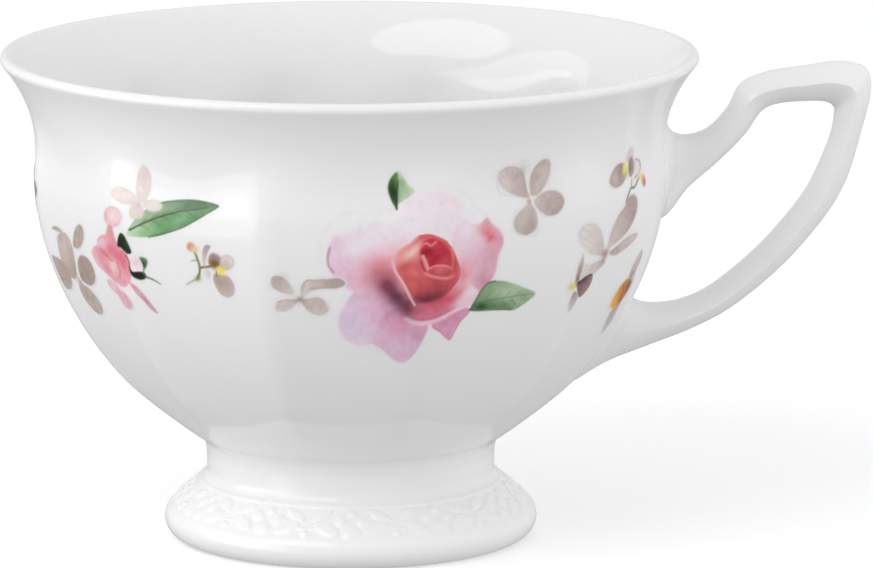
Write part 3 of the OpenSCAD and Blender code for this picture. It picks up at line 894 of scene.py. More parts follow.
    ink.stroke(
        [(0.5, 2.9), (0.9, 2), (1.2, 1.2), (1.5, 0.7)], 0.42, (222, 150, 146), soft=0.18, opacity=0.95,
    )
    ink.stroke([(0.2, 2.2), (0.6, 1.3), (1.1, 0.5)], 0.24, (142, 40, 48), opacity=0.7)
    fold = [(1.3, 1), (2.4, 1.5), (3.8, 1.4), (4.7, 0.9), (4.7, -0.1), (3.2, -0.3), (1.9, 0)]
    ink.petal(fold, (3, 1.4), (192, 102, 108), (180, 70, 80), soft=0.18)
    ink.stroke([(1.3, 1), (2.4, 1.45), (3.8, 1.35), (4.7, 0.9)], 0.26, (216, 138, 138), opacity=0.8)
    ink.wash((2.2, -1.7), (5, 2), 10, (166, 74, 80), 0.92, clip=core)
    ink.stroke(
        [(0.9, 0.4), (1.7, 0), (2.8, -0.3), (4.2, -0.5), (5.4, -0.2)], 0.36, (218, 136, 132), soft=0.22,
        opacity=0.85,
    )
    ink.washes([
        ((-0.6, -1.2), (1.6, 1), -45, (196, 100, 98), 0.75),
        ((0.8, -1), (1.3, 0.5), -8, (190, 96, 90), 0.6),
        ((5.5, 0.6), (1, 2.8), 14, (178, 70, 76), 0.85),
        ((2, -3), (3.6, 1.1), 8, (128, 58, 70), 0.95),
    ], clip=core)
    ink.washes([
        ((1.4, -3.6), (2.8, 0.7), 4, (102, 46, 60), 0.9),
        ((6.6, 0), (1.1, 2), 10, (206, 124, 134), 0.8),
    ])
    ink.stroke([(-0.1, 5.8), (1.2, 6), (2.6, 5.5), (3.9, 4.8)], 0.24, (190, 92, 84), opacity=0.7)
    lip = [(-3.5, 2), (-3.1, 0.6), (-2.3, -0.6), (-1.6, -1.8), (-0.9, -3.2), (-0.2, -4.3)]
    ink.stroke(lip, 0.4, (228, 172, 178), soft=0.16, opacity=0.95, taper=0.3)
    ink.stroke(
        [(-3.3, 2.4), (-2.5, 3.8), (-1.2, 4.8), (-0.3, 5.7)], 0.3, (226, 158, 154), soft=0.16,
        opacity=0.8,
    )
    # The dark line along the left petal's edge
    ink.stroke(
        [(-12.3, 4.1), (-12.6, 2.8), (-12.5, 1.6), (-11.9, 0.6)], 0.34, (158, 134, 124), soft=0.18,
        opacity=0.8,
    )
    paint_small_leaf(ink)
    paint_right_leaf(ink)


def paint_small_leaf(ink):
    """The little leaf above the rose."""
    outline = [
        (-3.2, 9.7), (-3.9, 11), (-4.3, 12.6), (-3.9, 14), (-3, 14.9), (-2.1, 14), (-1.5, 13),
        (-0.6, 12.1), (-1.5, 11.2), (-2.7, 10.4),
    ]
    dark_half = [
        (-3.2, 9.8), (-3.9, 11), (-4.3, 12.6), (-3.9, 14), (-3.05, 14.8), (-2.9, 13.4), (-3, 11.8),
        (-3, 10.4),
    ]
    ink.petal(outline, (-3, 12), (156, 176, 146), (188, 200, 182), soft=0.14)
    ink.petal(dark_half, (-3.5, 12), (58, 92, 46), (86, 122, 70), soft=0.14)
    ink.washes([
        ((-3.5, 11.9), (0.8, 2.2), 8, (26, 58, 18), 0.95),
        ((-2.5, 13.2), (0.8, 1.5), 20, (118, 150, 100), 0.6),
    ], clip=outline)
    ink.stroke(
        [(-3.1, 9.6), (-3.1, 10.6), (-3, 12), (-2.9, 13.6)], 0.34, (44, 66, 30), opacity=0.9, taper=0.6,
    )


def paint_right_leaf(ink):
    """The long leaf to the right of the rose."""
    outline = [
        (8.6, -5.6), (9.4, -4.2), (10, -3), (10.8, -2.1), (11.8, -1.7), (13.4, -1.8), (15.4, -2.4),
        (17.6, -3.3), (19.6, -4.3), (18.2, -5.6), (16.4, -6.5), (14.6, -6.3), (12, -6), (10, -5.9),
    ]
    ink.petal(outline, (9, -5), (104, 136, 100), (154, 172, 146), soft=0.12, reach=9)
    ink.washes([
        ((11, -3.1), (3, 1.4), 40, (114, 140, 106), 0.75),
        ((14.4, -3.5), (3.8, 1.3), -8, (166, 180, 156), 0.75),
        ((13.6, -5.7), (4.6, 1), -6, (94, 122, 84), 0.9),
        ((10.4, -5.4), (2, 0.8), -8, (38, 68, 34), 0.9),
        ((17.8, -4.6), (1.8, 1), -30, (122, 148, 112), 0.7),
    ], clip=outline)
    ink.stroke(
        [(8.7, -5.5), (11.4, -4.6), (14.4, -4.4), (17, -4.3), (19.2, -4.3)], 0.24, (84, 112, 76),
        opacity=0.7, taper=0.6,
    )
    for k in range(4):
        x = 10.6 + 1.7 * k
        ink.stroke(
            [(x, -4.7), (x + 0.7, -4), (x + 1.2, -3.2 - 0.2 * k)], 0.18, (112, 138, 102), opacity=0.5,
        )
        ink.stroke([(x - 0.2, -4.8), (x + 0.4, -5.3), (x + 0.7, -5.6)], 0.18, (64, 92, 56), opacity=0.5)
    ink.stroke(
        [(8.9, -5.1), (9.6, -3.7), (10.2, -2.7), (11, -1.9), (12.2, -1.7)], 0.28, (62, 84, 52),
        opacity=0.7,
    )
    ink.stroke(
        [(8.6, -5.7), (10, -5.95), (12, -6.05), (14, -6.2), (16, -6.3)], 0.3, (42, 62, 36),
        opacity=0.75, taper=0.5,
    )


def paint_left_blossom(ink):
    """The low taupe blossom to the left of the rose."""
    upper = [(-1, 0.7), (-1.4, 2.2), (-2.2, 3.2), (-3.2, 3.5), (-3.9, 3.1), (-3.9, 2), (-3, 1.2)]
    lower = [(-0.5, -0.1), (-2, -0.1), (-3.4, -0.5), (-3.6, -1.6), (-2.4, -1.8), (-1, -1)]
    right = [
        (0.1, -0.2), (1.4, 0.2), (2.6, 0.3), (3.6, -0.5), (3.9, -1.6), (3, -2.4), (1.6, -2.2),
        (0.6, -1.4),
    ]
    curved = [
        (0.1, 0.2), (0, 1.2), (0.3, 2.3), (1, 2.9), (2.2, 2.9), (3.8, 3), (5.2, 3.2), (6.2, 2.8),
        (6.3, 2.1), (5, 1.6), (3.2, 1.6), (1.8, 1.3), (0.7, 0.6),
    ]
    ink.petal(upper, (-0.6, 0.4), (196, 187, 179), (178, 164, 158), veins=4)
    ink.petal(lower, (0, 0), TAUPE, (196, 187, 181), veins=4)
    ink.petal(right, (0, 0), (180, 168, 162), TAUPE, veins=4)
    ink.petal(curved, (0, 0), (198, 191, 186), (172, 157, 150), veins=4)
    ink.stroke([(-3.2, -0.4), (-2, -0.1), (-0.8, -0.2)], 0.3, (170, 156, 148), opacity=0.6)
    ink.wash((-3, 2.7), (1.3, 0.8), 40, (170, 156, 150), 0.7)
    ink.stroke(
        [(0.2, 1.4), (0.5, 2.3), (1.2, 2.8), (2.2, 2.8), (3.4, 3)], 0.28, (172, 161, 154), opacity=0.6,
    )
    ink.stroke([(1.4, 1.6), (3, 1.7), (4.8, 1.8), (5.9, 2.1)], 0.26, (166, 152, 142), opacity=0.6)
    ink.wash((4.8, 2.4), (2, 0.8), 0, (166, 150, 142), 0.7, clip=curved)
    ink.wash((-0.1, -0.05), (0.9, 0.65), 0, (152, 136, 130), 0.95)


def paint_right_blossom(ink):
    """The four-petalled taupe blossom to the right of the rose."""
    petals = [
        ([(-0.3, 0.5), (-0.6, 2), (-1.1, 3.8), (-2.2, 5), (-3.8, 5.3), (-5.1, 4.6), (-5.2, 3.3), (-4, 1.9),
          (-2.4, 1)], (176, 161, 157), (194, 183, 180)),
        ([(0.3, 0.7), (0, 2), (0.1, 3.8), (0.9, 5.2), (2, 5.8), (3, 5.4), (3.2, 4), (2.6, 2.2), (1.4, 0.8)],
         (184, 173, 168), (178, 165, 160)),
        ([(0.6, -0.2), (1.6, 0.8), (3, 1.2), (4.4, 1), (5.3, 0.2), (5.5, -0.9), (4.6, -2.1), (3.2, -2.4),
          (1.8, -1.8)], (186, 174, 169), (168, 152, 147)),
        ([(-0.2, -0.4), (-1.4, -1.1), (-2.4, -2.2), (-2.5, -3.5), (-1.6, -4.5), (-0.2, -4.8), (0.9, -4.1),
          (1.3, -3), (1, -1.6), (0.5, -0.7)], (188, 176, 172), (172, 161, 154)),
    ]
    for outline, near, far in petals:
        ink.petal(outline, (0, 0), near, far, veins=5, soft=0.2)
    ink.washes([
        ((-2, 4), (2, 1.1), 50, (172, 158, 153), 0.7),
        ((-3.9, 2.8), (1.2, 1.5), 30, (200, 191, 189), 0.7),
        ((2.4, 3.4), (0.9, 2), -10, (192, 182, 177), 0.6),
        ((0.4, -3.6), (1, 1.4), 20, (160, 148, 142), 0.6),
        ((-1.6, -2.6), (0.8, 1.4), 10, (188, 178, 172), 0.6),
    ])
    ink.stroke([(0.2, 0.9), (0, 2.2), (0.2, 3.8), (1, 5.1)], 0.28, (164, 150, 146), opacity=0.55)
    ink.stroke([(-0.5, 0.8), (-0.9, 2.6), (-1.4, 4.2)], 0.3, (166, 152, 148), opacity=0.5)
    ink.stroke([(-0.3, 1), (-0.2, 0.2), (0, -0.6)], 0.5, (196, 172, 170), opacity=0.85)
    ink.wash((-0.2, -0.1), (0.6, 0.5), 0, (180, 146, 144), 0.75)


def paint_small_viola(ink):
    """A viola with its stem and an orange bud."""
    ink.stroke(
        [(-3.3, 2.9), (-2.9, 1.7), (-2.7, 0.6), (-2.9, -0.4), (-3.4, -1.2)], 0.4, (110, 122, 74),
        soft=0.16,
    )
    ink.stroke(
        [(-3.3, -1.1), (-4.4, -1.7), (-5.3, -2.2)], 0.34, (156, 164, 124), soft=0.16, opacity=0.9,
        taper=0.5,
    )
    ink.wash((-3.2, -1.1), (0.8, 0.5), 40, (116, 128, 72), 0.8)
    ink.stroke([(-2.9, 1.6), (-4, 1.4)], 0.26, (130, 138, 100), opacity=0.85, taper=0.5)
    ink.stroke([(-2.7, 0.5), (-1.6, 0.7), (-0.8, 0.9)], 0.38, (116, 124, 82))
    ink.petal(
        [(-4.5, 3.3), (-4.2, 4), (-3.5, 4.1), (-3.1, 3.5), (-3.5, 2.9), (-4.1, 2.8)], (-4.2, 3.4),
        (204, 136, 118), (206, 158, 132), soft=0.22,
    )
    ink.wash((-3.2, 3.1), (0.8, 0.7), 30, (204, 184, 134), 0.95, hard=1.6)
    ink.petal(
        [(-2.1, 0.9), (-2.1, 2.2), (-1.8, 3.4), (-1.2, 4), (-0.6, 3.8), (-1, 3), (-1.4, 2), (-1.6, 1)],
        (-1.8, 1), (194, 182, 180), (160, 146, 148), soft=0.14,
    )
    ink.petal(
        [(-2.2, -0.4), (-2, 0.4), (-1.2, 0.4), (-0.9, -0.4), (-1.3, -1.1), (-2, -1)], (-1, 0),
        (196, 186, 182), (206, 198, 195), soft=0.2, opacity=0.8,
    )
    ink.petal(
        [(-1.1, 1.2), (-1, 2.3), (-0.4, 2.9), (0.5, 2.7), (1.2, 2.1), (1, 1.3), (0.1, 0.9)], (0, 1),
        (126, 102, 84), (162, 146, 142), soft=0.24, veins=5,
    )
    ink.petal(
        [(0.6, 1), (1, 2.3), (2, 2.8), (2.9, 2.4), (3, 1.4), (2.2, 0.7), (1.2, 0.5)], (0.8, 0.8),
        (180, 166, 162), (204, 196, 194), soft=0.2, rim=(176, 164, 162),
    )
    ink.petal(
        [
            (-0.3, -0.1), (-0.7, -1), (-0.4, -2.2), (0.3, -3.2), (1.5, -3.5), (2.5, -2.8), (2.6, -1.4),
            (1.9, -0.4), (0.8, -0.1),
        ], (0.7, 0.2), (166, 148, 138), (186, 172, 167), soft=0.2, veins=6, rim=(172, 156, 150),
    )
    ink.wash((1.3, -1.9), (1.1, 1.3), 15, (160, 144, 136), 0.75)
    ink.wash((-0.2, 1.1), (1, 0.9), -30, (120, 88, 42), 0.97, hard=1.3)
    ink.wash((0.8, 0.35), (1.05, 0.85), -10, (226, 198, 84), 0.98, hard=1.6)
    ink.stroke([(0, 0.2), (-0.1, -0.5)], 0.24, (124, 92, 56), opacity=0.7)


def paint_side_rose(ink):
    """The narrow pink rose with a lance-shaped leaf and a pale blossom."""
    leaf = [
        (3.1, 2), (3.8, 3.4), (5, 4.8), (6.8, 6.2), (8.8, 7.2), (12, 7.8), (15, 8), (18.2, 7.5),
        (16, 6), (14, 4.8), (12, 3.8), (9.8, 2.9), (7.6, 2.2), (5, 1.9),
    ]
    midrib = [(3.6, 2.8), (6, 4), (8, 4.9), (10, 5.6), (12, 6.2), (14, 6.6), (16.5, 7.1)]
    ink.petal(leaf, (3, 2), (176, 202, 164), (92, 134, 90), soft=0.12, reach=8)
    ink.petal(leaf[1:8] + midrib[::-1], (3, 3), (158, 178, 146), (78, 112, 74), soft=0.16, reach=12)
    ink.washes([
        ((7, 6), (2.2, 1.1), 30, (142, 158, 130), 0.8),
        ((10.6, 6.8), (2.6, 0.9), 14, (126, 150, 118), 0.6),
        ((14.4, 7.2), (3.4, 1.1), 8, (62, 98, 62), 0.8),
        ((9.6, 3.9), (3.6, 1.1), 20, (84, 132, 84), 0.8),
        ((11.8, 5), (2, 0.8), 26, (118, 162, 112), 0.7),
        ((6.4, 2.8), (2, 0.7), 20, (132, 172, 122), 0.7),
        ((14.6, 5.9), (2, 0.8), 34, (82, 124, 80), 0.7),
    ], clip=leaf)
    for k in range(6):
        x = 5.2 + 1.8 * k
        y = np.interp(x, *np.asarray(midrib).T)
        ink.stroke(
            [(x, y), (x + 0.7, y + 0.6), (x + 1.3, y + 1 - 0.14 * k)], 0.2, (66, 98, 62), opacity=0.5,
        )
        ink.stroke([(x, y), (x + 0.8, y - 0.1), (x + 1.5, y - 0.5)], 0.2, (64, 106, 62), opacity=0.5)
    ink.stroke(midrib, 0.32, (42, 64, 40), opacity=0.85, taper=0.5)
    ink.stroke(
        [(6.6, 2.05), (9, 2.75), (12, 3.8), (14.2, 5), (16.2, 6.2), (18.1, 7.4)], 0.26, (58, 92, 56),
        opacity=0.65,
    )
    ink.stroke([(8, 6.9), (12, 7.75), (15, 7.9), (18.1, 7.5)], 0.24, (62, 96, 60), opacity=0.6)
    florets = [
        [(5.2, 7), (4.8, 8.6), (5, 10.6), (5.8, 12), (6.8, 11.8), (7.3, 10.2), (7, 8.4), (6.2, 7)],
        [(5, 6.6), (3.8, 6.4), (2, 6.6), (0.6, 7.4), (0.8, 8.4), (2.2, 8.8), (3.8, 8.4), (5, 7.4)],
        [(6, 6.4), (7, 5.8), (8.2, 5.8), (9, 6.4), (8.8, 7.2), (7.6, 7.5), (6.4, 7.2)],
        [(4.4, 6.6), (3.8, 5.6), (4, 4.6), (5, 4.4), (6, 5), (6, 6.2), (5.3, 6.8)],
    ]
    for outline in florets:
        ink.petal(
            outline, (5.4, 6.6), (204, 192, 186), (200, 191, 187), soft=0.24, veins=6,
            rim=(186, 175, 171),
        )
    ink.washes([
        ((2, 7.6), (1, 0.7), 0, (208, 201, 198), 0.6),
        ((6.2, 10), (0.8, 2), 5, (188, 176, 171), 0.6),
        ((5.2, 6.4), (0.7, 0.6), 0, (186, 168, 162), 0.8),
    ])
    top = [
        (-1.5, 3.7), (-1.2, 4.8), (-0.4, 5.5), (0.8, 5.9), (2, 5.6), (2.5, 4.6), (2, 3.5), (0.9, 2.9),
        (-0.4, 2.9),
    ]
    ink.petal(top, (0.4, 3), (210, 172, 176), (208, 180, 184), soft=0.2, rim=(206, 158, 164))
    ink.washes([
        ((0.7, 4.4), (1.4, 1.1), 30, (213, 198, 201), 0.85),
        ((-0.9, 4.2), (0.6, 1), 10, (204, 146, 152), 0.6),
    ], clip=top)
    body = [
        (-4.3, 0.3), (-3, 1.1), (-1.6, 1.5), (-0.6, 2.9), (0.4, 3), (0.8, 1.4), (1.6, 0), (2.7, -1),
        (2.9, -3), (2.3, -4.8), (0.8, -5.9), (-0.6, -5.8), (-2.2, -5.4), (-4, -4.6), (-6, -3.7),
        (-6.9, -2.2), (-6, -1.1), (-4.8, -0.6),
    ]
    ink.petal(body, (-0.4, -1.6), (204, 122, 134), (208, 158, 168), soft=0.2, reach=6)
    ink.washes([
        ((-0.1, 1.8), (0.8, 2.2), 8, (188, 144, 140), 0.85),
        ((-3, 0.1), (2.2, 1), 15, (210, 176, 186), 0.85),
        ((-4.8, -2.6), (2.4, 1.5), 20, (202, 132, 144), 0.8),
        ((-6, -2.6), (1.1, 1.4), 0, (210, 172, 180), 0.75),
        ((-3.2, -1.6), (1.8, 0.6), -10, (196, 112, 126), 0.7),
        ((1.4, -1.8), (1.5, 1.8), 10, (196, 96, 112), 0.9),
        ((-0.5, -0.6), (1.5, 1), 20, (194, 110, 128), 0.8),
        ((-0.9, -3.2), (1.9, 1.5), 15, (210, 184, 182), 0.95),
        ((-2.9, -3.9), (1.6, 0.9), -20, (200, 118, 134), 0.7),
        ((1.2, -4.6), (1.4, 1.4), 0, (208, 152, 162), 0.8),
        ((-5, -4), (1.8, 0.7), -25, (208, 178, 184), 0.6),
    ], clip=body)
    ink.stroke(
        [(-3.8, -1), (-2.4, -1.6), (-1.4, -2.2), (-0.8, -2.2)], 0.3, (190, 92, 110), soft=0.2,
        opacity=0.7,
    )
    ink.stroke([(0.4, -2.4), (0.6, -3.4), (0.1, -4.6)], 0.3, (192, 100, 114), soft=0.2, opacity=0.6)
    ink.stroke(
        [(-4.2, 0.2), (-3, 0.9), (-1.6, 1.2), (-0.8, 2.2)], 0.26, (202, 150, 160), soft=0.16,
        opacity=0.7,
    )
    lower = [
        [(-4.2, -5.7), (-2.8, -5.4), (-1.2, -6), (-1.1, -7.2), (-2.6, -7.4), (-4, -6.6)],
        [(-2.2, -6.8), (-0.6, -6.6), (0.9, -7.4), (1.3, -8.7), (0.2, -9.4), (-1.4, -8.8)],
    ]
    for outline in lower:
        ink.petal(outline, (-0.4, -5.4), (200, 142, 152), (204, 168, 176), soft=0.3)
    ink.wash((-2.2, -6.2), (1.2, 0.7), -15, (206, 182, 188), 0.7)
    ink.petal(
        [
            (2, -5), (3.1, -5.6), (4, -6.7), (4.9, -8.1), (5.5, -9.4), (4.6, -8.9), (3.6, -7.6),
            (2.6, -6.4),
        ], (2.4, -5.4), (198, 138, 146), (180, 146, 150), soft=0.16,
    )
    ink.washes([
        ((3.3, -6.4), (0.5, 1), 35, (206, 172, 176), 0.6),
        ((4, -1.9), (1.3, 1.1), 0, (214, 184, 186), 0.8),
    ])
    dark = (8, 40, 12)
    ink.petal(
        [
            (1.1, 0.2), (1.4, 1.4), (2, 2.2), (2.6, 2), (3.1, 1), (3.5, -0.4), (2.9, -0.8), (2.3, -0.5),
            (1.7, 0),
        ], (1.5, 0.4), dark, (40, 72, 34), soft=0.14,
    )
    ink.petal(
        [
            (2.6, -2.6), (3.1, -3.3), (4.2, -3.2), (5, -3.3), (5.2, -4), (4.2, -4.5), (3, -4.2),
            (2.6, -3.5),
        ], (3, -3.6), dark, (34, 64, 30), soft=0.14,
    )
    ink.petal(
        [(4.6, -1.1), (5.3, -1), (5.9, -1.4), (5.6, -2.3), (5, -2.9), (4.9, -2)], (5, -2), (56, 84, 50),
        (116, 132, 104), soft=0.16,
    )
    ink.stroke([(5.1, -3.9), (6.4, -4.3), (7.3, -4.8)], 0.32, (84, 108, 74), taper=0.5)
    ink.stroke([(4.9, -2.9), (4.9, -3.5)], 0.26, (96, 116, 84), opacity=0.8)
    ink.stroke([(2.4, -1), (2.8, -1.8), (2.7, -2.6)], 0.3, (92, 92, 68), opacity=0.6)


def paint_left_blossoms(ink):
    """The taupe blossom farthest to the left."""
    petals = [
        ([(0.6, 3), (1.3, 4.6), (2.4, 5.9), (3.8, 6.7), (4.8, 6.2), (4.5, 4.8), (3.4, 3.6), (2, 2.9)],
         (158, 142, 132), (166, 150, 140)),
        ([(0, -2), (0.2, -0.2), (1.1, 1.2), (2.6, 2), (4.4, 1.8), (5.4, 0.6), (5.2, -0.9), (4, -2),
          (2, -2.6)], (148, 130, 122), (156, 138, 130)),
        ([(-4.2, 3.2), (-3, 4.3), (-1.2, 4.6), (-0.1, 3.6), (0, 1.8), (-0.6, -0.4), (-1.6, -2),
          (-3.2, -2.3), (-4.6, -1.2), (-4.8, 0.8)], (164, 146, 136), (186, 170, 163)),
        ([(-7.8, 0), (-6.4, 0.3), (-4.6, 0), (-3.6, -0.8), (-3.6, -2.4), (-4.6, -3.8), (-6, -4.4),
          (-7.4, -4)], (158, 142, 134), (166, 150, 142)),
        ([(-1.6, -3), (0, -2.8), (1.8, -3.3), (3.3, -4.6), (3.4, -6), (2.2, -6.9), (0.4, -7), (-1.2, -6),
          (-2, -4.6)], (166, 150, 142), (170, 156, 148)),
    ]
    for outline, near, far in petals:
        ink.petal(outline, (-1, -2.4), near, far, veins=6, soft=0.2, rim=(156, 141, 132))
    ink.petal(
        [(-5.2, 4.7), (-4.2, 5.2), (-2.8, 5.1), (-1.8, 4.6), (-3.2, 4.5)], (-2, 4.6), (176, 164, 156),
        (162, 150, 142), soft=0.16,
    )
    ink.washes([
        ((3, 0.2), (2.2, 1.5), 10, (150, 132, 122), 0.6),
        ((-2.6, 1.8), (1.5, 2), 0, (184, 168, 161), 0.6),
        ((-3.2, 3.6), (1.4, 0.8), 20, (162, 148, 140), 0.6),
    ])
    ink.stroke([(-1, -2.2), (-1.2, 0), (-1.4, 2.2), (-1.2, 3.8)], 0.26, (152, 138, 130), opacity=0.5)
    ink.stroke([(0.4, 2.6), (1.2, 3), (2.2, 2.8)], 0.3, (178, 164, 158), opacity=0.5)
    ink.washes([
        ((-1, -2.4), (1.3, 0.9), 0, (184, 152, 150), 0.85),
        ((-0.7, -2.6), (0.5, 0.4), 0, (150, 116, 112), 0.7),
    ])


def paint_handle_spray(ink):
    """Three violas round a taupe blossom, beside the handle."""
    # The upper viola with its bud
    ink.stroke(
        [(4.4, 8.6), (3, 7.4), (2, 7.4), (1.2, 6.6), (0.6, 5.6)], 0.34, (112, 112, 88), soft=0.16,
    )
    ink.stroke([(2, 7.4), (2.2, 8.6)], 0.28, (126, 122, 102), opacity=0.8)
    ink.petal(
        [
            (-4.5, 9.3), (-3.8, 10.5), (-2.4, 11.4), (-0.8, 11.4), (0.4, 10.4), (0.3, 9.2), (-0.8, 8.3),
            (-2.6, 8.1), (-4, 8.6),
        ], (0.4, 10.2), (150, 132, 128), (172, 158, 154), soft=0.22, veins=7, rim=(158, 144, 142),
    )
    ink.wash((-3, 9.6), (1, 1.2), 0, (186, 175, 172), 0.5)
    ink.petal(
        [(0.2, 11.4), (0.2, 12.6), (0.9, 13.4), (1.8, 13), (2.3, 12), (1.8, 11)], (1, 11),
        (184, 174, 172), (198, 190, 189), soft=0.22,
    )
    ink.petal(
        [(1, 11.6), (1.6, 12), (2.4, 11.4), (3, 10.4), (2.6, 9.4), (1.6, 9), (1, 10.2)], (1, 10.4),
        (126, 106, 102), (156, 140, 138), soft=0.22, veins=6,
    )
    ink.petal(
        [(2.8, 11.3), (3.8, 11.2), (4.7, 10.5), (4.7, 9.5), (3.8, 8.9), (2.8, 8.8), (2.8, 9.8)],
        (2.6, 10), (204, 197, 195), (204, 197, 196), soft=0.2,
    )
    ink.stroke(
        [(3, 11.4), (4.3, 11), (4.8, 10), (4.3, 9.1), (3, 8.7)], 0.3, (156, 144, 144), soft=0.16,
        opacity=0.8,
    )
    ink.wash((0, 10.5), (0.95, 1.4), 0, (222, 200, 108), 0.98, hard=1.6)
    ink.wash((0.6, 9.6), (0.6, 0.7), 0, (176, 140, 72), 0.6)
    ink.petal(
        [(5, 8.4), (5.5, 8.9), (6.2, 8.4), (6.4, 7.5), (6, 7), (5.4, 7.5)], (5, 8.6), (210, 168, 104),
        (184, 116, 96), soft=0.2,
    )
    ink.wash((4.8, 8.8), (0.7, 0.6), 0, (222, 198, 128), 0.9, hard=1.6)
    # The taupe blossom
    ink.petal(
        [
            (0.3, 5), (1.2, 6.1), (2.6, 6.4), (3.9, 5.6), (4.2, 4), (3.4, 2.2), (1.8, 0.9), (0, 0.1),
            (-1.8, -0.3), (-3.2, -0.4), (-3.4, 0.8), (-2.8, 2.4), (-1.4, 4),
        ], (-3.4, -1), (194, 182, 177), (162, 145, 139), soft=0.2, veins=6,
    )
    ink.washes([
        ((-0.4, 2.2), (2.2, 1.6), 40, (188, 176, 170), 0.55),
        ((2.6, 4.4), (1.6, 2), -25, (160, 144, 138), 0.6),
    ])
    ink.petal(
        [
            (-11.8, 3.4), (-10.6, 4.2), (-8.6, 3.9), (-6.6, 2.8), (-5.2, 1.2), (-4.4, -0.4),
            (-4.2, -1.4), (-6, -1.2), (-8.4, -0.5), (-10.4, 0.7), (-11.6, 2),
        ], (-4.2, -1), (190, 178, 173), (206, 199, 196), soft=0.2, veins=6, rim=(192, 182, 178),
    )
    ink.petal(
        [
            (-9.8, -1.7), (-8, -2.1), (-5, -2), (-3, -2.6), (-5, -3.6), (-7, -4.2), (-9.4, -4),
            (-10, -2.8),
        ], (-3.4, -2), (184, 174, 168), (204, 197, 191), soft=0.2, veins=6,
    )
    ink.petal(
        [
            (-2.4, -1.3), (0, -0.5), (2.6, 0.2), (5, 0.4), (5.7, -0.1), (4, -1.1), (1.4, -1.8),
            (-0.8, -2),
        ], (-3, -1.6), (172, 158, 152), (194, 184, 179), soft=0.18, veins=5, rim=(170, 157, 152),
    )
    ink.washes([
        ((-3.7, -1.2), (1.4, 1.1), 0, (154, 130, 126), 0.95),
        ((-3.9, -2.1), (0.8, 0.7), 0, (150, 124, 120), 0.7),
    ])
    # The lower left viola, in profile
    ink.petal(
        [
            (-10.4, -0.2), (-9.9, -1.6), (-10, -3.4), (-10, -5), (-10.8, -4.8), (-11, -3.2),
            (-10.9, -1.6),
        ], (-10.4, -4), (146, 128, 124), (184, 174, 172), soft=0.18,
    )
    ink.petal(
        [
            (-10, -4.4), (-8.4, -3.9), (-6.8, -3.7), (-6, -4.2), (-6, -5.4), (-7, -6.5), (-8.4, -7),
            (-9.4, -6.2), (-10.1, -5.2),
        ], (-9.6, -4.6), (116, 86, 86), (140, 112, 112), soft=0.18, veins=8,
    )
    ink.wash((-8.6, -4.4), (2, 0.7), 8, (70, 48, 42), 0.8)
    ink.stroke(
        [(-10.1, -4.6), (-8.8, -4.2), (-7.4, -3.9), (-6.4, -3.9)], 0.42, (38, 26, 22), opacity=0.9,
        taper=0.5,
    )
    ink.wash((-11.2, -4.9), (0.95, 0.9), 0, (210, 188, 104), 0.98, hard=1.6)
    ink.petal(
        [(-10.6, -5.8), (-9.4, -6.2), (-9, -7.2), (-9.6, -8.6), (-10.3, -8.8), (-10.8, -7.6)],
        (-10, -5.6), (160, 146, 142), (190, 183, 181), soft=0.2,
    )
    # The lower right viola, in profile
    ink.petal(
        [(7.2, -6.6), (7, -5.2), (7.6, -3.6), (8.4, -2.6), (9, -3.4), (8.8, -5), (8.4, -6.4)],
        (7.6, -6.8), (168, 152, 146), (190, 182, 180), soft=0.2,
    )
    ink.stroke([(8.4, -6.2), (8.9, -4.8), (8.8, -3.2)], 0.26, (140, 118, 110), opacity=0.6)
    ink.petal(
        [(6.4, -10.4), (5.9, -12), (6.4, -14), (7.4, -15), (8.2, -13.8), (8.2, -11.8), (7.6, -10.4)],
        (7, -10), (164, 152, 148), (190, 183, 181), soft=0.22,
    )
    ink.stroke([(7, -10.6), (6.7, -12.4), (7, -14.4)], 0.24, (146, 130, 124), opacity=0.5)
    ink.petal(
        [
            (4.4, -9.4), (4.9, -7.9), (6, -6.9), (7.2, -6.6), (8.4, -7.4), (8.5, -9.2), (7.4, -10.6),
            (5.6, -10.9), (4.6, -10.4),
        ], (7.4, -8.4), (176, 108, 20), (216, 160, 50), soft=0.22,
    )
    ink.washes([
        ((8.2, -7.8), (1.1, 1.7), 0, (118, 74, 46), 0.92),
        ((7.6, -10), (0.8, 1.1), 0, (130, 82, 44), 0.75),
        ((5, -9.2), (1, 1.5), 0, (214, 166, 72), 0.85),
        ((6.2, -8.4), (1.3, 1), 0, (186, 116, 22), 0.85),
    ])
    ink.stroke([(6.2, -7.4), (6.9, -8.4), (6.8, -9.8)], 0.26, (110, 66, 22), opacity=0.75)


def paint_side_viola(ink):
    """The single viola between the two sets."""
    ink.petal(
        [(-0.6, 0.8), (-1, 2), (-0.6, 3.2), (0.4, 3.6), (1.3, 3), (1.4, 1.8), (0.8, 0.8)], (0.2, 0.6),
        (150, 136, 136), (172, 162, 164), veins=9,
    )
    ink.petal(
        [(-0.4, 0.4), (-1.6, 1.6), (-3, 1.6), (-3.4, 0.4), (-2.4, -0.4), (-1, -0.3)], (0, 0.3),
        (184, 176, 176), (202, 196, 196), veins=8,
    )
    ink.petal(
        [(0.6, 0.4), (1.6, 1.4), (2.9, 1.3), (3.6, 0.2), (2.8, -0.9), (1, -0.5)], (0, 0.3),
        (170, 160, 158), (120, 104, 98), veins=8,
    )
    ink.petal(
        [(-0.4, -0.2), (-1.2, -1.4), (-1, -2.8), (0.1, -3.6), (1.3, -3), (1.6, -1.6), (0.9, -0.3)],
        (0.2, 0), (182, 170, 164), (198, 190, 188), veins=10,
    )
    ink.wash((0.2, 0.2), (0.65, 0.55), 0, (226, 200, 98), 0.98, hard=2)
    ink.wash((0.2, 0.9), (0.5, 0.35), 0, (124, 96, 60), 0.9)


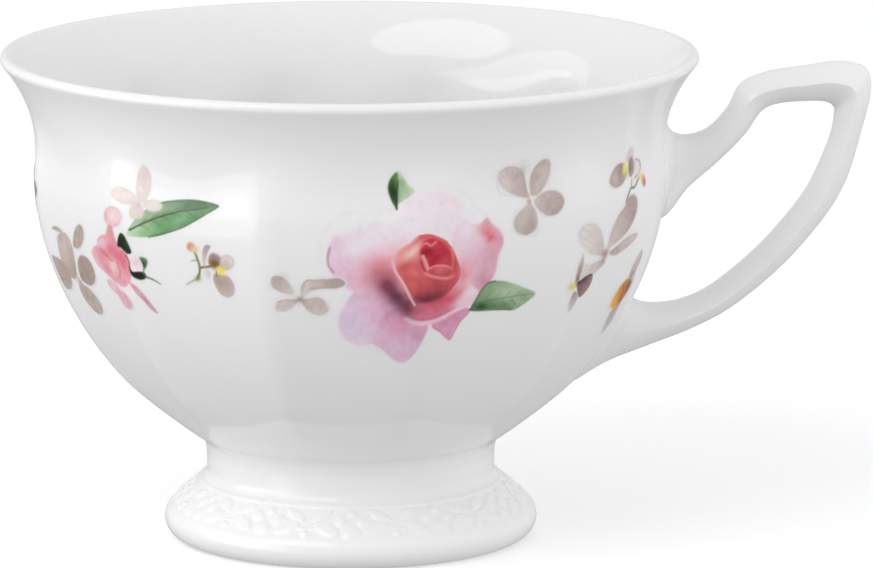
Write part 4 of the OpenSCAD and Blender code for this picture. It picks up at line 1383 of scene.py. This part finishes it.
# Angle and height of each motif, its reach to the sides and up, its slot and its painter
MOTIFS = {
    "main_rose": (12, 46, (-13.6, 20.2), (-14, 15.6), "rose_print", paint_main_rose),
    "left_blossom": (-9, 42.6, (-4.6, 7), (-3.2, 4.2), "blossom_print", paint_left_blossom),
    "right_blossom": (33.5, 55.4, (-6, 6.2), (-5.6, 6.6), "blossom_print", paint_right_blossom),
    "small_viola": (-24.8, 45.8, (-6, 3.6), (-4, 4.6), "viola_print", paint_small_viola),
    "side_rose": (-46.6, 48, (-7.8, 19), (-10.4, 13), "rose_print", paint_side_rose),
    "left_blossoms": (-63.3, 43, (-8.8, 6.4), (-8, 7.6), "blossom_print", paint_left_blossoms),
    "handle_spray": (59, 47, (-13, 10), (-16, 14.2), "viola_print", paint_handle_spray),
    "side_viola": (-78.6, 52.6, (-4, 6.2), (-4.6, 4.4), "viola_print", paint_side_viola),
}
# Spacing of the painted points
CELL = 0.12
# A sheet ends where less than this share of the glaze is covered
INK_EDGE = 0.08
# The sheets lie this far above the bowl; blossoms reach over the edge of the roses
PRINT_UP = {"rose_print": 0.015, "viola_print": 0.015, "blossom_print": 0.03}


def make_print_glaze():
    """Printed colour under the same glaze as the porcelain."""
    material, tree, shader = node_material("printed_glaze")
    ink = tree.nodes.new("ShaderNodeAttribute")
    ink.attribute_name = "ink"
    grain = two_tones(tree, noise(tree, 2600, 3.0), (0.985, 0.985, 0.985), (1.0, 1.0, 1.0))
    mix = tree.nodes.new("ShaderNodeMix")
    mix.data_type = "RGBA"
    mix.blend_type = "MULTIPLY"
    mix.inputs["Factor"].default_value = 1.0
    tree.links.new(ink.outputs["Color"], mix.inputs["A"])
    tree.links.new(grain, mix.inputs["B"])
    tree.links.new(mix.outputs["Result"], shader.inputs["Base Color"])
    glaze(tree, shader)
    return material


PRINT_GLAZE = make_print_glaze()


def make_print(node, motif, turn):
    """One printed sheet: a skin just above the bowl with a colour at every point."""
    az0, z0, (u0, u1), (v0, v1), slot, paint = MOTIFS[motif]
    u, v = np.meshgrid(np.arange(u0, u1, CELL), np.arange(v0, v1, CELL))
    ink = Print(u, v)
    paint(ink)
    quads = grid_faces(*u.shape, closed=False)
    quads = quads[(ink.cover.ravel()[quads] > INK_EDGE).any(axis=1)]
    used, quads = np.unique(quads, return_inverse=True)
    points = on_bowl(az0 + turn + np.degrees(u / FLAT_R), z0 + v, PRINT_UP[slot]).reshape(-1, 3)[used]
    sheet = add_piece(node + "_print", points, quads.reshape(-1, 4).tolist(), [PRINT_GLAZE])
    colour = np.ones((len(used), 4))
    colour[:, :3] = ink.tone.reshape(-1, 3)[used] * WHITE
    layer = sheet.data.color_attributes.new("ink", "FLOAT_COLOR", "POINT")
    layer.data.foreach_set("color", colour.ravel())
    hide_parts(node)
    return sheet


# ------------------------------------------------------------------ stage, lights and camera
def make_floor():
    """A wide, plain, pale floor."""
    material, tree, shader = node_material("pale_floor")
    tone = two_tones(tree, noise(tree, 3), (0.93, 0.93, 0.93), (0.94, 0.94, 0.94))
    tree.links.new(tone, shader.inputs["Base Color"])
    shader.inputs["Roughness"].default_value = 0.6
    shader.inputs["Specular IOR Level"].default_value = 0.2
    shader.inputs["Emission Color"].default_value = (1, 1, 1, 1)
    shader.inputs["Emission Strength"].default_value = 0.24
    size = 20000
    corners = [(-size, -size, 0), (size, -size, 0), (size, size, 0), (-size, size, 0)]
    floor = add_piece("floor", corners, [[0, 1, 2, 3]], [material])
    # The cup is lit by the lamps and the sky alone, as on a small table, not by a wide white floor
    floor.visible_diffuse = False
    floor.visible_glossy = False
    floor.visible_shadow = False


def softbox(name, place, target, size, radiance, colour=(1, 1, 1), shape="RECTANGLE"):
    """A soft light of a size in metres whose face has a given radiance."""
    light = bpy.data.lights.new(name, "AREA")
    light.shape = shape
    light.size, light.size_y = size
    area = size[0] * size[1] * (pi / 4 if shape == "ELLIPSE" else 1)
    light.energy = radiance * area * pi
    light.color = colour
    lamp = bpy.data.objects.new(name, light)
    lamp.location = place
    lamp.rotation_euler = (Vector(target) - Vector(place)).to_track_quat("-Z", "Y").to_euler()
    lamp.visible_camera = False
    bpy.context.scene.collection.objects.link(lamp)
    return lamp


SKY_BELOW = 0.47
SKY_ABOVE = 0.74


def make_sky():
    """An even dome of soft light above the horizon, and a dimmer one below it."""
    world = bpy.data.worlds.new("studio")
    world.use_nodes = True
    tree = world.node_tree
    background = tree.nodes["Background"]
    background.inputs["Color"].default_value = (0.995, 0.99, 1.0, 1)
    place = tree.nodes.new("ShaderNodeTexCoord")
    split = tree.nodes.new("ShaderNodeSeparateXYZ")
    tree.links.new(place.outputs["Generated"], split.inputs["Vector"])
    strength = spread(tree, split.outputs["Z"], SKY_BELOW, SKY_ABOVE)
    rise = strength.node
    rise.inputs["From Min"].default_value = -0.30
    rise.inputs["From Max"].default_value = -0.05
    tree.links.new(strength, background.inputs["Strength"])
    bpy.context.scene.world = world


def make_lights():
    """A key from the upper left, a softbox on each side, a fill and a card."""
    middle = (0, 0, 0.04)
    softbox("key", (-0.55, -0.62, 0.85), middle, (1.0, 0.62), 1.82, shape="ELLIPSE")
    softbox("left", (-0.95, -0.25, 0.10), middle, (0.8, 0.5), 1.2)
    # The right lamp isn't mirrored in the glaze
    right = softbox("right", (0.95, -0.30, 0.10), middle, (0.7, 0.6), 1.95)
    right.visible_glossy = False
    # A fill that isn't mirrored in the glaze, and a card that is only seen mirrored in it
    fill = softbox("fill", (-0.32, -0.24, 0.05), middle, (0.22, 0.16), 2.0)
    fill.visible_glossy = False
    card = softbox("card", (-0.377, -0.122, 0.106), (0, 0, 0.05), (0.64, 0.34), 1.25, shape="ELLIPSE")
    card.rotation_euler.rotate_axis("Z", radians(-28))
    card.visible_diffuse = False


def make_camera():
    """A long lens in front of the cup and a little above it."""
    camera_data = bpy.data.cameras.new("camera")
    camera_data.sensor_width = 36
    camera_data.lens = 274.83
    camera_data.clip_end = 20
    camera = bpy.data.objects.new("camera", camera_data)
    place = Vector((0, -0.95, 0.215))
    target = Vector((0.0125, 0, 0.0366))
    camera.location = place
    camera.rotation_euler = (target - place).to_track_quat("-Z", "Y").to_euler()
    bpy.context.scene.collection.objects.link(camera)
    bpy.context.scene.camera = camera


bpy.context.scene.view_settings.view_transform = "Standard"
make_camera()
make_sky()
make_lights()
make_floor()
pieces = [
    make_bowl(),
    make_foot(),
    make_foot_fillet(),
    make_handle(),
    make_root_fillet("handle_upper_fillet", "handle_upper_slip_joint", (0, 8), 1.6, 1.4),
    make_root_fillet("handle_lower_fillet", "handle_lower_slip_joint", (20, 13), 1.6, 1.4),
]
for motif in MOTIFS:
    if motif == "side_viola":
        pieces.append(make_print(motif, motif, 0))
    else:
        pieces.append(make_print("front_" + motif, motif, 0))
        pieces.append(make_print("back_" + motif, motif, 180))
for piece in pieces:
    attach(piece, "root")
